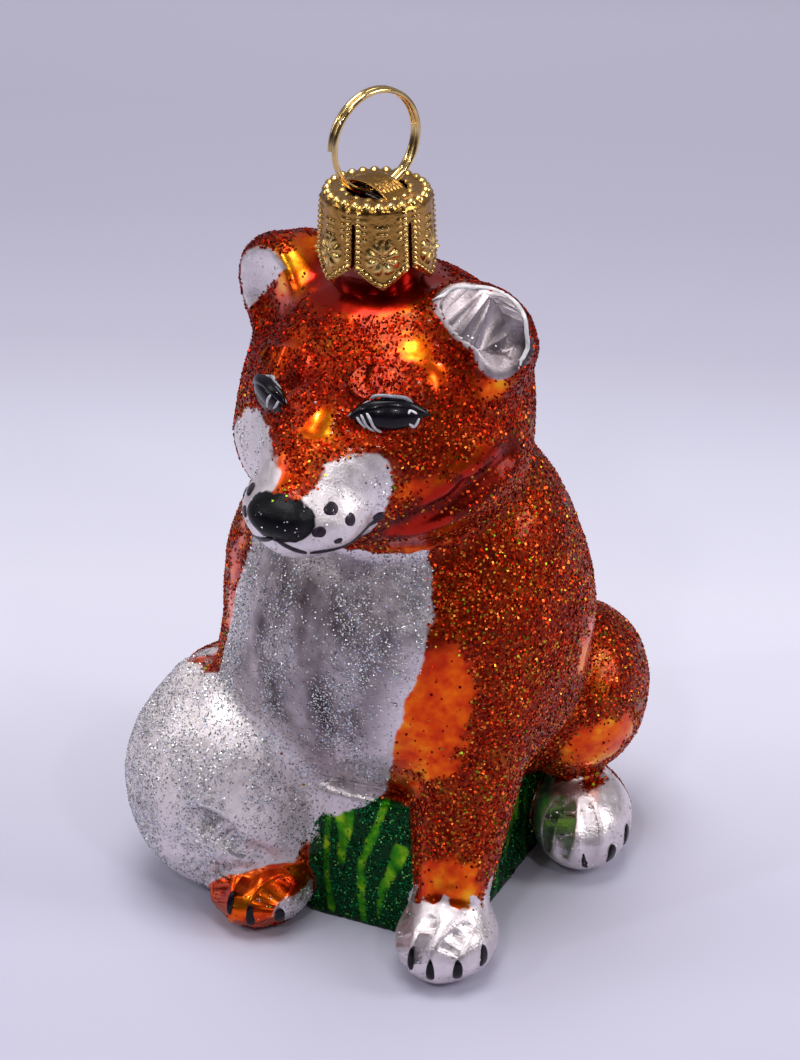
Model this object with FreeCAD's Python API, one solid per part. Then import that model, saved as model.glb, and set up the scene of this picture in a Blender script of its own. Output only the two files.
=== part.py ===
import FreeCAD, Part
import math
import os
from FreeCAD import Placement, Rotation, Vector

# Sitting fox of blown glass with a stamped cap and a split ring, in millimetres.
# The fox faces -Y, its left side is +X, and it stands on Z = 0.

# Glass figure
FOX_WIDTH = 48.0
FOX_DEPTH = 50.0
FOX_HEIGHT = 71.0
WALL = 0.8
HEAD_TURN_DEG = -6.0

# Stamped cap
CAP_SHEET = 0.3
CAP_TOP_RADIUS = 5.3
CAP_SKIRT_FLARE = 0.35
CAP_SHOULDER = 0.8
CAP_OPENING_RADIUS = 2.9
CAP_FOOT_CLEARANCE = 0.15
PETAL_COUNT = 6
PETAL_HEADING_DEG = -59.0
PETAL_POINT = 2.0
PETAL_TIP_WIDTH = 0.4
SLIT_WIDTH = 0.35
SLIT_TOP_DEPTH = 1.7
BRIDGE_WIDTH = 2.8
BRIDGE_RISE = 0.95
BRIDGE_LAP = 0.5

# Neck tube, open at the top, which the cap slips over with play all round
CAP_NECK_CLEARANCE = 0.6
NECK_WALL = 0.9
NECK_HEIGHT = 8.0

# Split ring of round wire
RING_WIRE = 0.58
RING_OUTER_RADIUS = 5.2
RING_TURN_GAP = 0.02
RING_TURNS = 1.75
RING_POINTS_PER_TURN = 16
RING_HEADING_DEG = 64.6
RING_BRIDGE_GAP = 0.6
RING_HINGE_RISE = 0.5

# Spring clip of round wire, with two legs inside the neck
CLIP_WIRE = 0.6
CLIP_SIDE_CLEARANCE = 0.2
CLIP_RING_CLEARANCE = 0.3
CLIP_LEG = 11.0
CLIP_TIP = 1.5
CLIP_SHOULDER = 1.1
CLIP_BEND = 0.5

# Spare length of a cutting tool past what it cuts
OVERRUN = 5.0

# Round limbs that make up the figure. Each has the places of its two ends, as shares of the width, depth
# and height, and the radii of its two ends, as shares of the width.

# The trunk: the rump and belly below, the nape on top
TRUNK_SHARES = {
    "torso": ((-0.067, 0.020, 0.394), (0.050, 0.020, 0.394), 0.342, 0.342),
    "shoulders": ((-0.077, 0.020, 0.507), (0.060, 0.020, 0.507), 0.308, 0.308),
    "flanks": ((-0.092, 0.020, 0.451), (0.075, 0.020, 0.451), 0.325, 0.325),
    "back": ((-0.025, 0.056, 0.360), (0.015, 0.045, 0.525), 0.325, 0.305),
    "chest": ((-0.022, -0.100, 0.365), (-0.022, -0.092, 0.465), 0.240, 0.254),
    "breast": ((-0.105, -0.085, 0.475), (0.085, -0.085, 0.475), 0.232, 0.232),
    "nape": ((-0.067, 0.010, 0.606), (0.067, 0.010, 0.606), 0.246, 0.246),
    "rump": ((-0.042, 0.176, 0.239), (0.042, 0.176, 0.239), 0.279, 0.279),
    "belly": ((-0.135, -0.070, 0.165), (-0.040, 0.140, 0.165), 0.155, 0.155),
}

# The legs: the left foreleg and hind leg show, the right foot looks out from under the tail
LEG_SHARES = {
    "left shoulder": ((0.120, -0.060, 0.430), (0.215, -0.090, 0.430), 0.165, 0.160),
    "left foreleg": ((0.221, -0.120, 0.338), (0.242, -0.280, 0.085), 0.163, 0.083),
    "right foreleg": ((-0.208, -0.120, 0.338), (-0.198, -0.220, 0.085), 0.163, 0.083),
    "left paw": ((0.244, -0.250, 0.059), (0.244, -0.346, 0.059), 0.093, 0.090),
    "right paw": ((-0.208, -0.260, 0.051), (-0.208, -0.336, 0.051), 0.092, 0.088),
    "left haunch": ((0.258, 0.244, 0.248), (0.258, 0.276, 0.256), 0.175, 0.175),
    "right haunch": ((-0.242, 0.220, 0.239), (-0.242, 0.260, 0.239), 0.183, 0.183),
    "left hind paw": ((0.350, 0.140, 0.068), (0.250, 0.240, 0.082), 0.104, 0.120),
}

# The tail, from the rump around the fox's right side to its thick white end
TAIL_SHARES = {
    "root": ((-0.312, 0.220, 0.162), (-0.083, 0.300, 0.130), 0.171, 0.150),
    "middle": ((-0.365, -0.080, 0.204), (-0.312, 0.220, 0.162), 0.198, 0.171),
    "end": ((-0.331, -0.200, 0.154), (-0.335, -0.192, 0.201), 0.221, 0.212),
}

# The head before it is turned: each ear is a low and a high roll
HEAD_SHARES = {
    "skull": ((-0.054, -0.070, 0.815), (0.037, -0.070, 0.815), 0.254, 0.254),
    "left cheek": ((0.000, -0.090, 0.752), (0.129, -0.100, 0.749), 0.196, 0.183),
    "right cheek": ((0.000, -0.090, 0.752), (-0.137, -0.100, 0.749), 0.196, 0.183),
    "muzzle": ((0.000, -0.260, 0.779), (0.000, -0.420, 0.730), 0.167, 0.100),
    "low left ear": ((0.158, -0.090, 0.913), (0.238, -0.100, 0.910), 0.075, 0.073),
    "high left ear": ((0.179, -0.090, 0.941), (0.227, -0.096, 0.935), 0.071, 0.069),
    "low right ear": ((-0.200, -0.080, 0.913), (-0.283, -0.088, 0.910), 0.075, 0.073),
    "high right ear": ((-0.229, -0.080, 0.941), (-0.275, -0.086, 0.938), 0.075, 0.073),
}

# The nose, solid glass
NOSE_SHARES = {
    "nose": ((-0.010, -0.484, 0.752), (-0.010, -0.496, 0.752), 0.056, 0.054),
}

# Foliage block between the legs: centre, half sizes and edge chamfer
FOLIAGE_SHARES = ((0.052, 0.020, 0.106), (0.177, 0.264, 0.113))
FOLIAGE_CHAMFER = 1.0

# Upright axis of the neck, the cap and the ring, and how deep the neck starts inside the head
NECK_PLACE_SHARES = (-0.029, -0.084)
NECK_FOOT_SHARE = 0.94


def place(shares):
    return Vector(shares[0] * FOX_WIDTH, shares[1] * FOX_DEPTH, shares[2] * FOX_HEIGHT)


def limb(shares, inset):
    """A tapered limb with two round ends, turned from one outline and smaller all round by the inset."""
    thick_end = place(shares[0])
    thin_end = place(shares[1])
    thick = shares[2] * FOX_WIDTH - inset
    thin = shares[3] * FOX_WIDTH - inset
    length = thick_end.distanceToPoint(thin_end)
    slope = math.asin((thick - thin) / length)
    side = Vector(math.cos(slope), 0, math.sin(slope))
    low_middle = Vector(math.sqrt(1 / 2), 0, -math.sqrt(1 / 2))
    high_middle = (side + Vector(0, 0, 1)).normalize()
    low_pole = Vector(0, 0, -thick)
    high_pole = Vector(0, 0, length + thin)
    high = Vector(0, 0, length)
    outline = Part.Wire([
        Part.Arc(low_pole, low_middle * thick, side * thick).toShape(),
        Part.LineSegment(side * thick, high + side * thin).toShape(),
        Part.Arc(high + side * thin, high + high_middle * thin, high_pole).toShape(),
        Part.LineSegment(high_pole, low_pole).toShape(),
    ])
    solid = Part.makeSolid(Part.Face(outline).revolve(Vector(), Vector(0, 0, 1), 360))
    solid.Placement = Placement(thick_end, Rotation(Vector(0, 0, 1), thin_end - thick_end))
    return solid


def limbs(table, inset):
    return [limb(shares, inset) for shares in table.values()]


def turned_with_head(solids):
    """The head looks a little towards the fox's right."""
    for solid in solids:
        solid.rotate(neck_axis(0), Vector(0, 0, 1), HEAD_TURN_DEG)
    return solids


def foliage(inset):
    """The squared block of foliage that fills the space between the legs."""
    centre = place(FOLIAGE_SHARES[0])
    half = place(FOLIAGE_SHARES[1]) - Vector(inset, inset, inset)
    corner = centre - half
    block = Part.makeBox(half.x * 2, half.y * 2, half.z * 2, corner)
    return block.makeChamfer(FOLIAGE_CHAMFER, block.Edges)


def neck_axis(height):
    return Vector(NECK_PLACE_SHARES[0] * FOX_WIDTH, NECK_PLACE_SHARES[1] * FOX_DEPTH, height)


def crown_height():
    """Height of the top of the skull."""
    skull = HEAD_SHARES["skull"]
    return place(skull[0]).z + skull[2] * FOX_WIDTH


NECK_FOOT = NECK_FOOT_SHARE * FOX_HEIGHT
NECK_TOP = crown_height() + NECK_HEIGHT
NECK_RADIUS = CAP_TOP_RADIUS - CAP_SHEET - CAP_NECK_CLEARANCE
NECK_BORE_RADIUS = NECK_RADIUS - NECK_WALL
CAP_SKIRT_RADIUS = CAP_TOP_RADIUS + CAP_SKIRT_FLARE
CAP_TOP = NECK_TOP + CAP_SHEET
CAP_FOOT = crown_height() + CAP_FOOT_CLEARANCE
RING_RADIUS = RING_OUTER_RADIUS - RING_WIRE / 2
RING_LOWEST = CAP_TOP + BRIDGE_RISE - CAP_SHEET - RING_BRIDGE_GAP - RING_WIRE
RING_CENTRE = RING_LOWEST + RING_OUTER_RADIUS
RING_HINGE = RING_LOWEST + RING_WIRE / 2 + RING_HINGE_RISE
CLIP_REACH = NECK_BORE_RADIUS - CLIP_SIDE_CLEARANCE - CLIP_WIRE / 2
CLIP_TOP = NECK_TOP - CLIP_WIRE / 2
CLIP_BAR = RING_LOWEST - CLIP_RING_CLEARANCE - CLIP_WIRE / 2


def skin(inset):
    """The joined forms that are hollow, drawn in by the inset and cut off flat where they stand."""
    solids = limbs(TRUNK_SHARES, inset) + limbs(LEG_SHARES, inset) + limbs(TAIL_SHARES, inset)
    solids += turned_with_head(limbs(HEAD_SHARES, inset)) + [foliage(inset)]
    whole = solids[0].multiFuse(solids[1:])
    reach = FOX_WIDTH + FOX_DEPTH
    ground = Part.makeBox(reach * 2, reach * 2, reach, Vector(-reach, -reach, inset - reach))
    return whole.cut(ground)


def glass_fox():
    """One blown skin: the figure with its neck, less the same forms drawn in by the wall."""
    neck = Part.makeCylinder(NECK_RADIUS, NECK_TOP - NECK_FOOT, neck_axis(NECK_FOOT))
    outer = skin(0).multiFuse(turned_with_head(limbs(NOSE_SHARES, 0)) + [neck])
    bore_foot = NECK_FOOT - WALL - OVERRUN
    bore = Part.makeCylinder(NECK_BORE_RADIUS, NECK_TOP + OVERRUN - bore_foot, neck_axis(bore_foot))
    return outer.cut([skin(WALL), bore])


def cap_shell():
    """The turned form of the cap: flat top, rounded shoulder and flared skirt."""
    inner_top = CAP_TOP_RADIUS - CAP_SHEET
    inner_skirt = CAP_SKIRT_RADIUS - CAP_SHEET
    bend_x = CAP_TOP_RADIUS - CAP_SHOULDER
    bend_z = CAP_TOP - CAP_SHOULDER
    inner_bend = CAP_SHOULDER - CAP_SHEET
    slant = Vector(math.sqrt(1 / 2), 0, math.sqrt(1 / 2))
    bend = Vector(bend_x, 0, bend_z)
    corners = [
        Vector(CAP_TOP_RADIUS, 0, bend_z),
        Vector(CAP_SKIRT_RADIUS, 0, CAP_FOOT),
        Vector(inner_skirt, 0, CAP_FOOT),
        Vector(inner_top, 0, bend_z),
    ]
    rim = [
        Vector(bend_x, 0, NECK_TOP),
        Vector(CAP_OPENING_RADIUS, 0, NECK_TOP),
        Vector(CAP_OPENING_RADIUS, 0, CAP_TOP),
        Vector(bend_x, 0, CAP_TOP),
    ]
    edges = [Part.LineSegment(start, end).toShape() for start, end in zip(corners, corners[1:])]
    edges.append(Part.Arc(corners[-1], bend + slant * inner_bend, rim[0]).toShape())
    edges.extend(Part.LineSegment(start, end).toShape() for start, end in zip(rim, rim[1:]))
    edges.append(Part.Arc(rim[-1], bend + slant * CAP_SHOULDER, corners[0]).toShape())
    return Part.Face(Part.Wire(edges)).revolve(Vector(), Vector(0, 0, 1), 360)


def petal_gap():
    """What is cut away between two petals: a slit, and a notch that leaves pointed ends."""
    slit_foot = CAP_FOOT - OVERRUN
    slit = Part.makeBox(
        CAP_SKIRT_RADIUS + OVERRUN, SLIT_WIDTH, CAP_TOP - SLIT_TOP_DEPTH - slit_foot,
        Vector(0, -SLIT_WIDTH / 2, slit_foot),
    )
    half = CAP_SKIRT_RADIUS * math.sin(math.pi / PETAL_COUNT) - PETAL_TIP_WIDTH / 2
    corners = [
        Vector(NECK_RADIUS, 0, CAP_FOOT + PETAL_POINT),
        Vector(NECK_RADIUS, half, CAP_FOOT),
        Vector(NECK_RADIUS, half, slit_foot),
        Vector(NECK_RADIUS, -half, slit_foot),
        Vector(NECK_RADIUS, -half, CAP_FOOT),
        Vector(NECK_RADIUS, 0, CAP_FOOT + PETAL_POINT),
    ]
    notch = Part.Face(Part.makePolygon(corners)).extrude(Vector(CAP_SKIRT_RADIUS + OVERRUN, 0, 0))
    return slit.fuse(notch)


def bridge():
    """The raised strip across the opening that the ring is threaded under."""
    end = CAP_OPENING_RADIUS + BRIDGE_LAP
    crown = CAP_TOP + BRIDGE_RISE
    outline = Part.Wire([
        Part.Arc(Vector(-end, 0, CAP_TOP), Vector(0, 0, crown), Vector(end, 0, CAP_TOP)).toShape(),
        Part.LineSegment(Vector(end, 0, CAP_TOP), Vector(end, 0, NECK_TOP)).toShape(),
        Part.Arc(
            Vector(end, 0, NECK_TOP), Vector(0, 0, crown - CAP_SHEET), Vector(-end, 0, NECK_TOP)
        ).toShape(),
        Part.LineSegment(Vector(-end, 0, NECK_TOP), Vector(-end, 0, CAP_TOP)).toShape(),
    ])
    strip = Part.Face(outline).extrude(Vector(0, BRIDGE_WIDTH, 0))
    strip.translate(Vector(0, -BRIDGE_WIDTH / 2, 0))
    return strip


def cap():
    gaps = []
    for petal in range(PETAL_COUNT):
        gap = petal_gap()
        gap.rotate(Vector(), Vector(0, 0, 1), PETAL_HEADING_DEG + (petal + 1 / 2) * 360 / PETAL_COUNT)
        gaps.append(gap)
    strip = bridge()
    strip.rotate(Vector(), Vector(0, 0, 1), RING_HEADING_DEG - 90)
    solid = cap_shell().cut(gaps).fuse(strip)
    solid.translate(neck_axis(0))
    return solid


def hanging_ring():
    """A coil of wire that stands upright, with its lowest point under the bridge."""
    pitch = RING_WIRE + RING_TURN_GAP
    steps = round(RING_TURNS * RING_POINTS_PER_TURN)
    points = []
    for step in range(steps + 1):
        turn = -math.tau * RING_TURNS * step / steps
        rise = pitch * RING_TURNS * step / steps
        points.append(Vector(RING_RADIUS * math.cos(turn), RING_RADIUS * math.sin(turn), rise))
    path = Part.BSplineCurve()
    path.interpolate(points)
    section = Part.Wire(Part.makeCircle(RING_WIRE / 2, points[0], path.tangent(path.FirstParameter)[0]))
    coil = Part.Wire(path.toShape()).makePipeShell([section], True, False)
    middle_of_bottom_pair = pitch * (RING_TURNS - 1 / 2)
    coil.translate(Vector(0, 0, -middle_of_bottom_pair))
    coil.rotate(Vector(), Vector(1, 0, 0), -90)
    coil.rotate(Vector(), Vector(0, 0, 1), RING_HEADING_DEG + 180)
    coil.translate(neck_axis(RING_CENTRE))
    return coil


def rounded_path(points, radius):
    """Straight runs through the points, with an arc of one radius at each corner."""
    edges = []
    run_start = points[0]
    for before, corner, after in zip(points, points[1:], points[2:]):
        back = (before - corner).normalize()
        ahead = (after - corner).normalize()
        half_angle = back.getAngle(ahead) / 2
        reach = radius / math.tan(half_angle)
        middle = corner + (back + ahead).normalize() * (radius / math.sin(half_angle) - radius)
        edges.append(Part.LineSegment(run_start, corner + back * reach).toShape())
        edges.append(Part.Arc(corner + back * reach, middle, corner + ahead * reach).toShape())
        run_start = corner + ahead * reach
    edges.append(Part.LineSegment(run_start, points[-1]).toShape())
    return Part.Wire(edges)


def spring_clip():
    """One bent wire: it bears on the cap from below, dips under the ring and has two legs."""
    half = [
        Vector(CLIP_REACH - CLIP_TIP, 0, CLIP_TOP - CLIP_LEG),
        Vector(CLIP_REACH, 0, CLIP_TOP - CLIP_LEG + CLIP_TIP),
        Vector(CLIP_REACH, 0, CLIP_TOP),
        Vector(CLIP_REACH - CLIP_SHOULDER, 0, CLIP_TOP),
        Vector(CLIP_REACH - CLIP_SHOULDER - (CLIP_TOP - CLIP_BAR), 0, CLIP_BAR),
    ]
    mirrored = [Vector(-point.x, 0, point.z) for point in reversed(half)]
    path = rounded_path(half + mirrored, CLIP_BEND)
    section = Part.Wire(Part.makeCircle(CLIP_WIRE / 2, half[0], half[1] - half[0]))
    wire = path.makePipeShell([section], True, True)
    wire.rotate(Vector(), Vector(0, 0, 1), RING_HEADING_DEG - 90)
    wire.translate(neck_axis(0))
    return wire


def main():
    os.makedirs("parts", exist_ok=True)
    nodes = {
        "glass_fox": glass_fox(),
        "cap": cap(),
        "hanging_ring": hanging_ring(),
        "spring_clip": spring_clip(),
    }
    # The frame's origin lies under the middle of the figure
    box = nodes["glass_fox"].optimalBoundingBox(False, False)
    shift = Vector(-box.Center.x, -box.Center.y, 0)
    for name, shape in nodes.items():
        shape.translate(shift)
        shape.exportStep("parts/" + name + ".step")
        box = shape.optimalBoundingBox(False, False)
        print(name, shape.isValid(), len(shape.Solids), round(shape.Volume, 2))
        print("  from", round(box.XMin, 2), round(box.YMin, 2), round(box.ZMin, 2))
        print("  to", round(box.XMax, 2), round(box.YMax, 2), round(box.ZMax, 2))
    print("shift", shift, "foliage", place(FOLIAGE_SHARES[0]) + shift)
    print("neck axis", neck_axis(0) + shift, "neck top", NECK_TOP, "bore", NECK_BORE_RADIUS)
    print("ring hinge height", RING_HINGE, "ring centre", RING_CENTRE)


main()
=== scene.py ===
import functools
import math
import bpy
import numpy as np
from mathutils import Matrix, Vector


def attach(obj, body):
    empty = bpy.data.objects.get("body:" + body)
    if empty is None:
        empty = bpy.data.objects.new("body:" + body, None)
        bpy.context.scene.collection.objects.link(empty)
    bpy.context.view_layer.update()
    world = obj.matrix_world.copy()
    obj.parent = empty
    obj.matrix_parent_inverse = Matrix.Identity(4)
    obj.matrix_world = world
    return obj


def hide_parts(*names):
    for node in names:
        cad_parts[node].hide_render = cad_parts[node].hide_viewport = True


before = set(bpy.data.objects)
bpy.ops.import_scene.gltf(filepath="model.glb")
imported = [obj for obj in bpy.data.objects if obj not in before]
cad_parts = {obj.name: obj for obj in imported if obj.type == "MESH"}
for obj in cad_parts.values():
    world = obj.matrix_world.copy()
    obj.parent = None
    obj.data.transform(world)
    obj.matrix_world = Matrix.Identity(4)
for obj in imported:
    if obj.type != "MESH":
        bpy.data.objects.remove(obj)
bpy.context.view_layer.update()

# Studio
# Camera, lights and the pale surface that the ornament stands on. The
# surface's colour is painted light and shade: it runs from light grey in front
# through near white to lavender grey with distance from the camera, standing in
# for how the studio light falls off across it.

MM = 0.001
scene = bpy.context.scene


def linear(*levels):
    """A display colour, 0 to 255 a channel, as the linear colour of a shader."""
    shares = [level / 255 for level in levels]
    return tuple(v / 12.92 if v <= 0.04045 else ((v + 0.055) / 1.055) ** 2.4 for v in shares) + (1.0,)


TARGET = Vector((2.616, 0.587, 41.0)) * MM
BACK = Vector((0.3731, -0.8002, 0.4695))
CAMERA_AWAY = 330 * MM
LENS = 112.08
FLOOR_SIZE = 2.4
camera_data = bpy.data.cameras.new("camera")
camera_data.lens = LENS
camera_data.sensor_width = 36
camera_data.clip_start = 0.01
camera = bpy.data.objects.new("camera", camera_data)
scene.collection.objects.link(camera)
camera.location = TARGET + BACK * CAMERA_AWAY
camera.rotation_euler = BACK.to_track_quat("Z", "Y").to_euler()
scene.camera = camera
scene.view_settings.view_transform = "Standard"


class Shader:
    """Adds nodes to one tree and links them, so that a material reads as a list."""

    def __init__(self, tree):
        self.tree = tree
        self.nodes = tree.nodes

    def put(self, socket, value):
        if isinstance(value, bpy.types.NodeSocket):
            self.tree.links.new(value, socket)
        else:
            socket.default_value = value

    def node(self, kind, settings=None, out=0, **inputs):
        made = self.nodes.new(kind)
        for key, value in (settings or {}).items():
            setattr(made, key, value)
        for key, value in inputs.items():
            slot = int(key[1:]) if key[0] == "i" and key[1:].isdigit() else key.replace("_", " ")
            self.put(made.inputs[slot], value)
        return made.outputs[out]

    def math(self, operation, first, second=0.0, third=0.0):
        return self.node("ShaderNodeMath", {"operation": operation}, i0=first, i1=second, i2=third)

    def mix(self, factor, first, second, blend="MIX"):
        settings = {"data_type": "RGBA", "blend_type": blend}
        return self.node("ShaderNodeMix", settings, out=2, i0=factor, i6=first, i7=second)

    def step(self, value, low, high, bottom=0.0, top=1.0):
        """Runs smoothly from bottom to top while the value goes from low to high."""
        settings = {"interpolation_type": "SMOOTHSTEP"}
        return self.node("ShaderNodeMapRange", settings, i0=value, i1=low, i2=high, i3=bottom, i4=top)

    def ramp(self, value, stops):
        made = self.nodes.new("ShaderNodeValToRGB")
        while len(made.color_ramp.elements) < len(stops):
            made.color_ramp.elements.new(0.5)
        for element, (place, color) in zip(made.color_ramp.elements, stops):
            element.position = place
            element.color = color
        self.put(made.inputs[0], value)
        return made.outputs[0]

    def noise(self, vector, scale, detail=2.0, rough=0.5, out=0):
        inputs = {"Vector": vector, "Scale": scale, "Detail": detail, "Roughness": rough}
        return self.node("ShaderNodeTexNoise", out=out, **inputs)

    def cells(self, vector, scale, out=0):
        return self.node("ShaderNodeTexVoronoi", out=out, Vector=vector, Scale=scale)

    def attribute(self, name, out=2):
        return self.node("ShaderNodeAttribute", {"attribute_name": name}, out=out)

    def bump(self, height, distance, strength=1.0):
        return self.node("ShaderNodeBump", Height=height, Distance=distance, Strength=strength)

    def object_place(self):
        return self.node("ShaderNodeTexCoord", out=3)


def material(name, metallic=0.0, roughness=0.5, coat=0.0, coat_roughness=0.03, specular=0.5):
    """A new material with its surface node, whose constants are set here."""
    made = bpy.data.materials.new(name)
    made.use_nodes = True
    surface = made.node_tree.nodes["Principled BSDF"]
    surface.inputs["Metallic"].default_value = metallic
    surface.inputs["Roughness"].default_value = roughness
    surface.inputs["Coat Weight"].default_value = coat
    surface.inputs["Coat Roughness"].default_value = coat_roughness
    surface.inputs["Specular IOR Level"].default_value = specular
    return made, surface, Shader(made.node_tree)


world = bpy.data.worlds.new("studio")
world.use_nodes = True
scene.world = world
sky = Shader(world.node_tree)
heading = sky.node("ShaderNodeTexCoord", out=0)
axes = sky.nodes.new("ShaderNodeSeparateXYZ")
sky.put(axes.inputs[0], heading)
towards_back = sky.math("MULTIPLY_ADD", axes.outputs[1], 0.30, 0.42)
level = sky.math("MULTIPLY_ADD", axes.outputs[2], 0.30, towards_back)
world_color = sky.ramp(level, [
    (0.10, linear(72, 66, 74)), (0.34, linear(108, 101, 112)),
    (0.55, linear(206, 203, 220)), (0.85, linear(250, 249, 255)),
])
sky.put(world.node_tree.nodes["Background"].inputs[0], world_color)
world.node_tree.nodes["Background"].inputs[1].default_value = 0.38


def softbox(name, place, size, power):
    """A rectangular lamp that faces the ornament."""
    data = bpy.data.lights.new(name, "AREA")
    data.shape = "RECTANGLE"
    data.size = size[0] * MM
    data.size_y = size[1] * MM
    data.energy = power
    light = bpy.data.objects.new(name, data)
    scene.collection.objects.link(light)
    light.location = Vector(place) * MM
    light.rotation_euler = (light.location - TARGET).to_track_quat("Z", "Y").to_euler()


softbox("ceiling", (-18, -34, 420), (260, 200), 1.20)
softbox("window_left", (-330, -150, 240), (120, 220), 0.20)
softbox("window_right", (300, 60, 200), (90, 200), 0.42)
softbox("small_lamp_front", (60, -330, 330), (26, 26), 0.20)
softbox("small_lamp_left", (-190, -260, 300), (22, 22), 0.16)
softbox("small_lamp_right", (230, -190, 280), (22, 22), 0.13)

bpy.ops.mesh.primitive_plane_add(size=FLOOR_SIZE, location=(TARGET.x, TARGET.y, 0))
floor = bpy.context.object
floor.name = "floor"
floor_material, floor_surface, s = material("pale_surface", roughness=0.75, specular=0.12)
spot = s.nodes.new("ShaderNodeSeparateXYZ")
s.put(spot.inputs[0], s.object_place())
# Metres from the ornament straight away from the camera, with a little wander and lean
VIEW_SIDE, VIEW_AHEAD = -0.4226, 0.9063
away = s.math("MULTIPLY", spot.outputs[1], VIEW_AHEAD)
away = s.math("ADD", s.math("MULTIPLY", spot.outputs[0], VIEW_SIDE), away)
wander = s.noise(s.object_place(), 9.0)
across = s.math("MULTIPLY_ADD", spot.outputs[0], 0.10, s.math("MULTIPLY_ADD", wander, 0.012, -0.006))
depth = s.math("MULTIPLY_ADD", s.math("ADD", away, across), 3.125, 0.125)
# Painted light and shade: lighter and darker bands across the floor by distance along the view, in place of
# the studio light's fall-off
floor_painted_light = s.ramp(depth, [
    (0.03, linear(190, 188, 206)), (0.11, linear(194, 192, 210)), (0.22, linear(212, 210, 226)),
    (0.31, linear(217, 216, 230)), (0.42, linear(211, 210, 226)), (0.52, linear(197, 194, 212)),
    (0.66, linear(194, 190, 209)), (0.80, linear(200, 196, 216)), (0.94, linear(214, 210, 230)),
])
s.put(floor_surface.inputs["Base Color"], floor_painted_light)
floor.data.materials.append(floor_material)

# Glass fox
# The hollow figure is blown in a mould, silvered inside, then painted with
# see-through orange and green lacquer; its belly, muzzle and tail stay silver.

# Forms are in millimetres from the mould's own middle, and MIDDLE is where that lies in the frame
MIDDLE = np.array([2.616, 2.587, 0.0])
HEAD_TURN = math.radians(-6.0)
NECK = np.array([-1.4, -4.2, 0.0])


@functools.lru_cache(None)
def turn_matrix(degrees):
    """A turn about x, then y, then z."""
    x, y, z = (math.radians(angle) for angle in degrees)
    return np.array(Matrix.Rotation(z, 3, "Z") @ Matrix.Rotation(y, 3, "Y") @ Matrix.Rotation(x, 3, "X"))


def ball(points, centre, radii, turn=(0, 0, 0)):
    """Distance to an egg-shaped form."""
    local = (points - np.array(centre)) @ turn_matrix(turn)
    radii = np.array(radii, float)
    near = np.linalg.norm(local / radii, axis=1)
    return near * (near - 1.0) / (np.linalg.norm(local / radii ** 2, axis=1) + 1e-9)


def roll(points, start, end, thick, thin):
    """Distance to a tapered limb with two round ends."""
    start, end = np.array(start, float), np.array(end, float)
    along = end - start
    square = float(along @ along)
    taper = thick - thin
    lean = square - taper * taper
    offset = points - start
    low = offset @ along
    high = low - square
    side = ((offset * square - np.outer(low, along)) ** 2).sum(1)
    low_square, high_square = low * low * square, high * high * square
    split = math.copysign(taper * taper, taper) * side
    at_end = np.sqrt(side + high_square) / square - thin
    at_start = np.sqrt(side + low_square) / square - thick
    between = (np.sqrt(side * lean / square) + low * taper) / square - thick
    before_end = np.where(np.sign(low) * lean * low_square < split, at_start, between)
    return np.where(np.sign(high) * lean * high_square > split, at_end, before_end)


def slab(points, centre, half, rounding):
    """Distance to a block with rounded edges."""
    over = np.abs(points - np.array(centre)) - (np.array(half) - rounding)
    return np.linalg.norm(np.maximum(over, 0), axis=1) + np.minimum(over.max(1), 0) - rounding


def joined(first, second, blend):
    """Two forms melted together over a blend in millimetres."""
    share = np.clip(0.5 + 0.5 * (second - first) / blend, 0, 1)
    return second * (1 - share) + first * share - blend * share * (1 - share)


def carved(first, second, blend):
    """The first form with the second scooped out of it."""
    return -joined(-first, second, blend)


def ripple(points, wave, seed, octaves=3):
    """Smooth wandering values between about -1 and 1, the same in each run."""
    dice = np.random.default_rng(seed)
    total = np.zeros(len(points))
    for octave in range(octaves):
        for _ in range(5):
            direction = dice.normal(size=3)
            direction *= 2 * math.pi / (wave / 1.9 ** octave) / np.linalg.norm(direction)
            total += np.sin(points @ direction + dice.uniform(0, 6.28)) / 1.7 ** octave
    return total / 4.2


def with_head(points):
    """The same points as they lie before the head is turned."""
    c, s = math.cos(HEAD_TURN), math.sin(HEAD_TURN)
    x, y = points[:, 0] - NECK[0], points[:, 1] - NECK[1]
    return np.stack([NECK[0] + c * x + s * y, NECK[1] - s * x + c * y, points[:, 2]], 1)


def off_head(points):
    """Turns points of the head to where they are."""
    c, s = math.cos(HEAD_TURN), math.sin(HEAD_TURN)
    points = np.atleast_2d(np.array(points, float))
    x, y = points[:, 0] - NECK[0], points[:, 1] - NECK[1]
    return np.stack([NECK[0] + c * x - s * y, NECK[1] + s * x + c * y, points[:, 2]], 1)


# Each form: how it is joined, how softly in millimetres, its kind, its place and sizes, and its turn.
# Trunk, shoulders, breast, throat, rump, left front leg and right front leg
TORSO = [
    ("add", 0.1, ball, (-0.4, 1, 29), (19.2, 16.5, 18.2)),
    ("add", 4.0, ball, (-0.4, 1, 36), (18.2, 15.2, 13.8)),
    ("add", 3.0, ball, (-1.2, -6, 30.6), (12.6, 10.9, 13.4), (-6, 0, 0)),
    ("add", 4.0, ball, (0, 0.5, 43), (15.2, 12, 11.5)),
    ("add", 4.0, ball, (-0.6, 8.8, 17.5), (13.6, 13.2, 14.6)),
    ("add", 2.6, roll, (10.2, -5.5, 27), (11.0, -14, 6), 6.5, 3.6),
    ("add", 3.0, roll, (-10, -6, 24), (-9.5, -11, 6), 7.8, 4.0),
]
PAW_LEFT = ("add", 1.5, ball, (11.5, -15.5, 3.9), (5.1, 6.2, 4.1))
PAW_RIGHT = ("add", 1.5, ball, (-9.8, -14.6, 3.5), (5.2, 6.2, 3.6))
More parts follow.
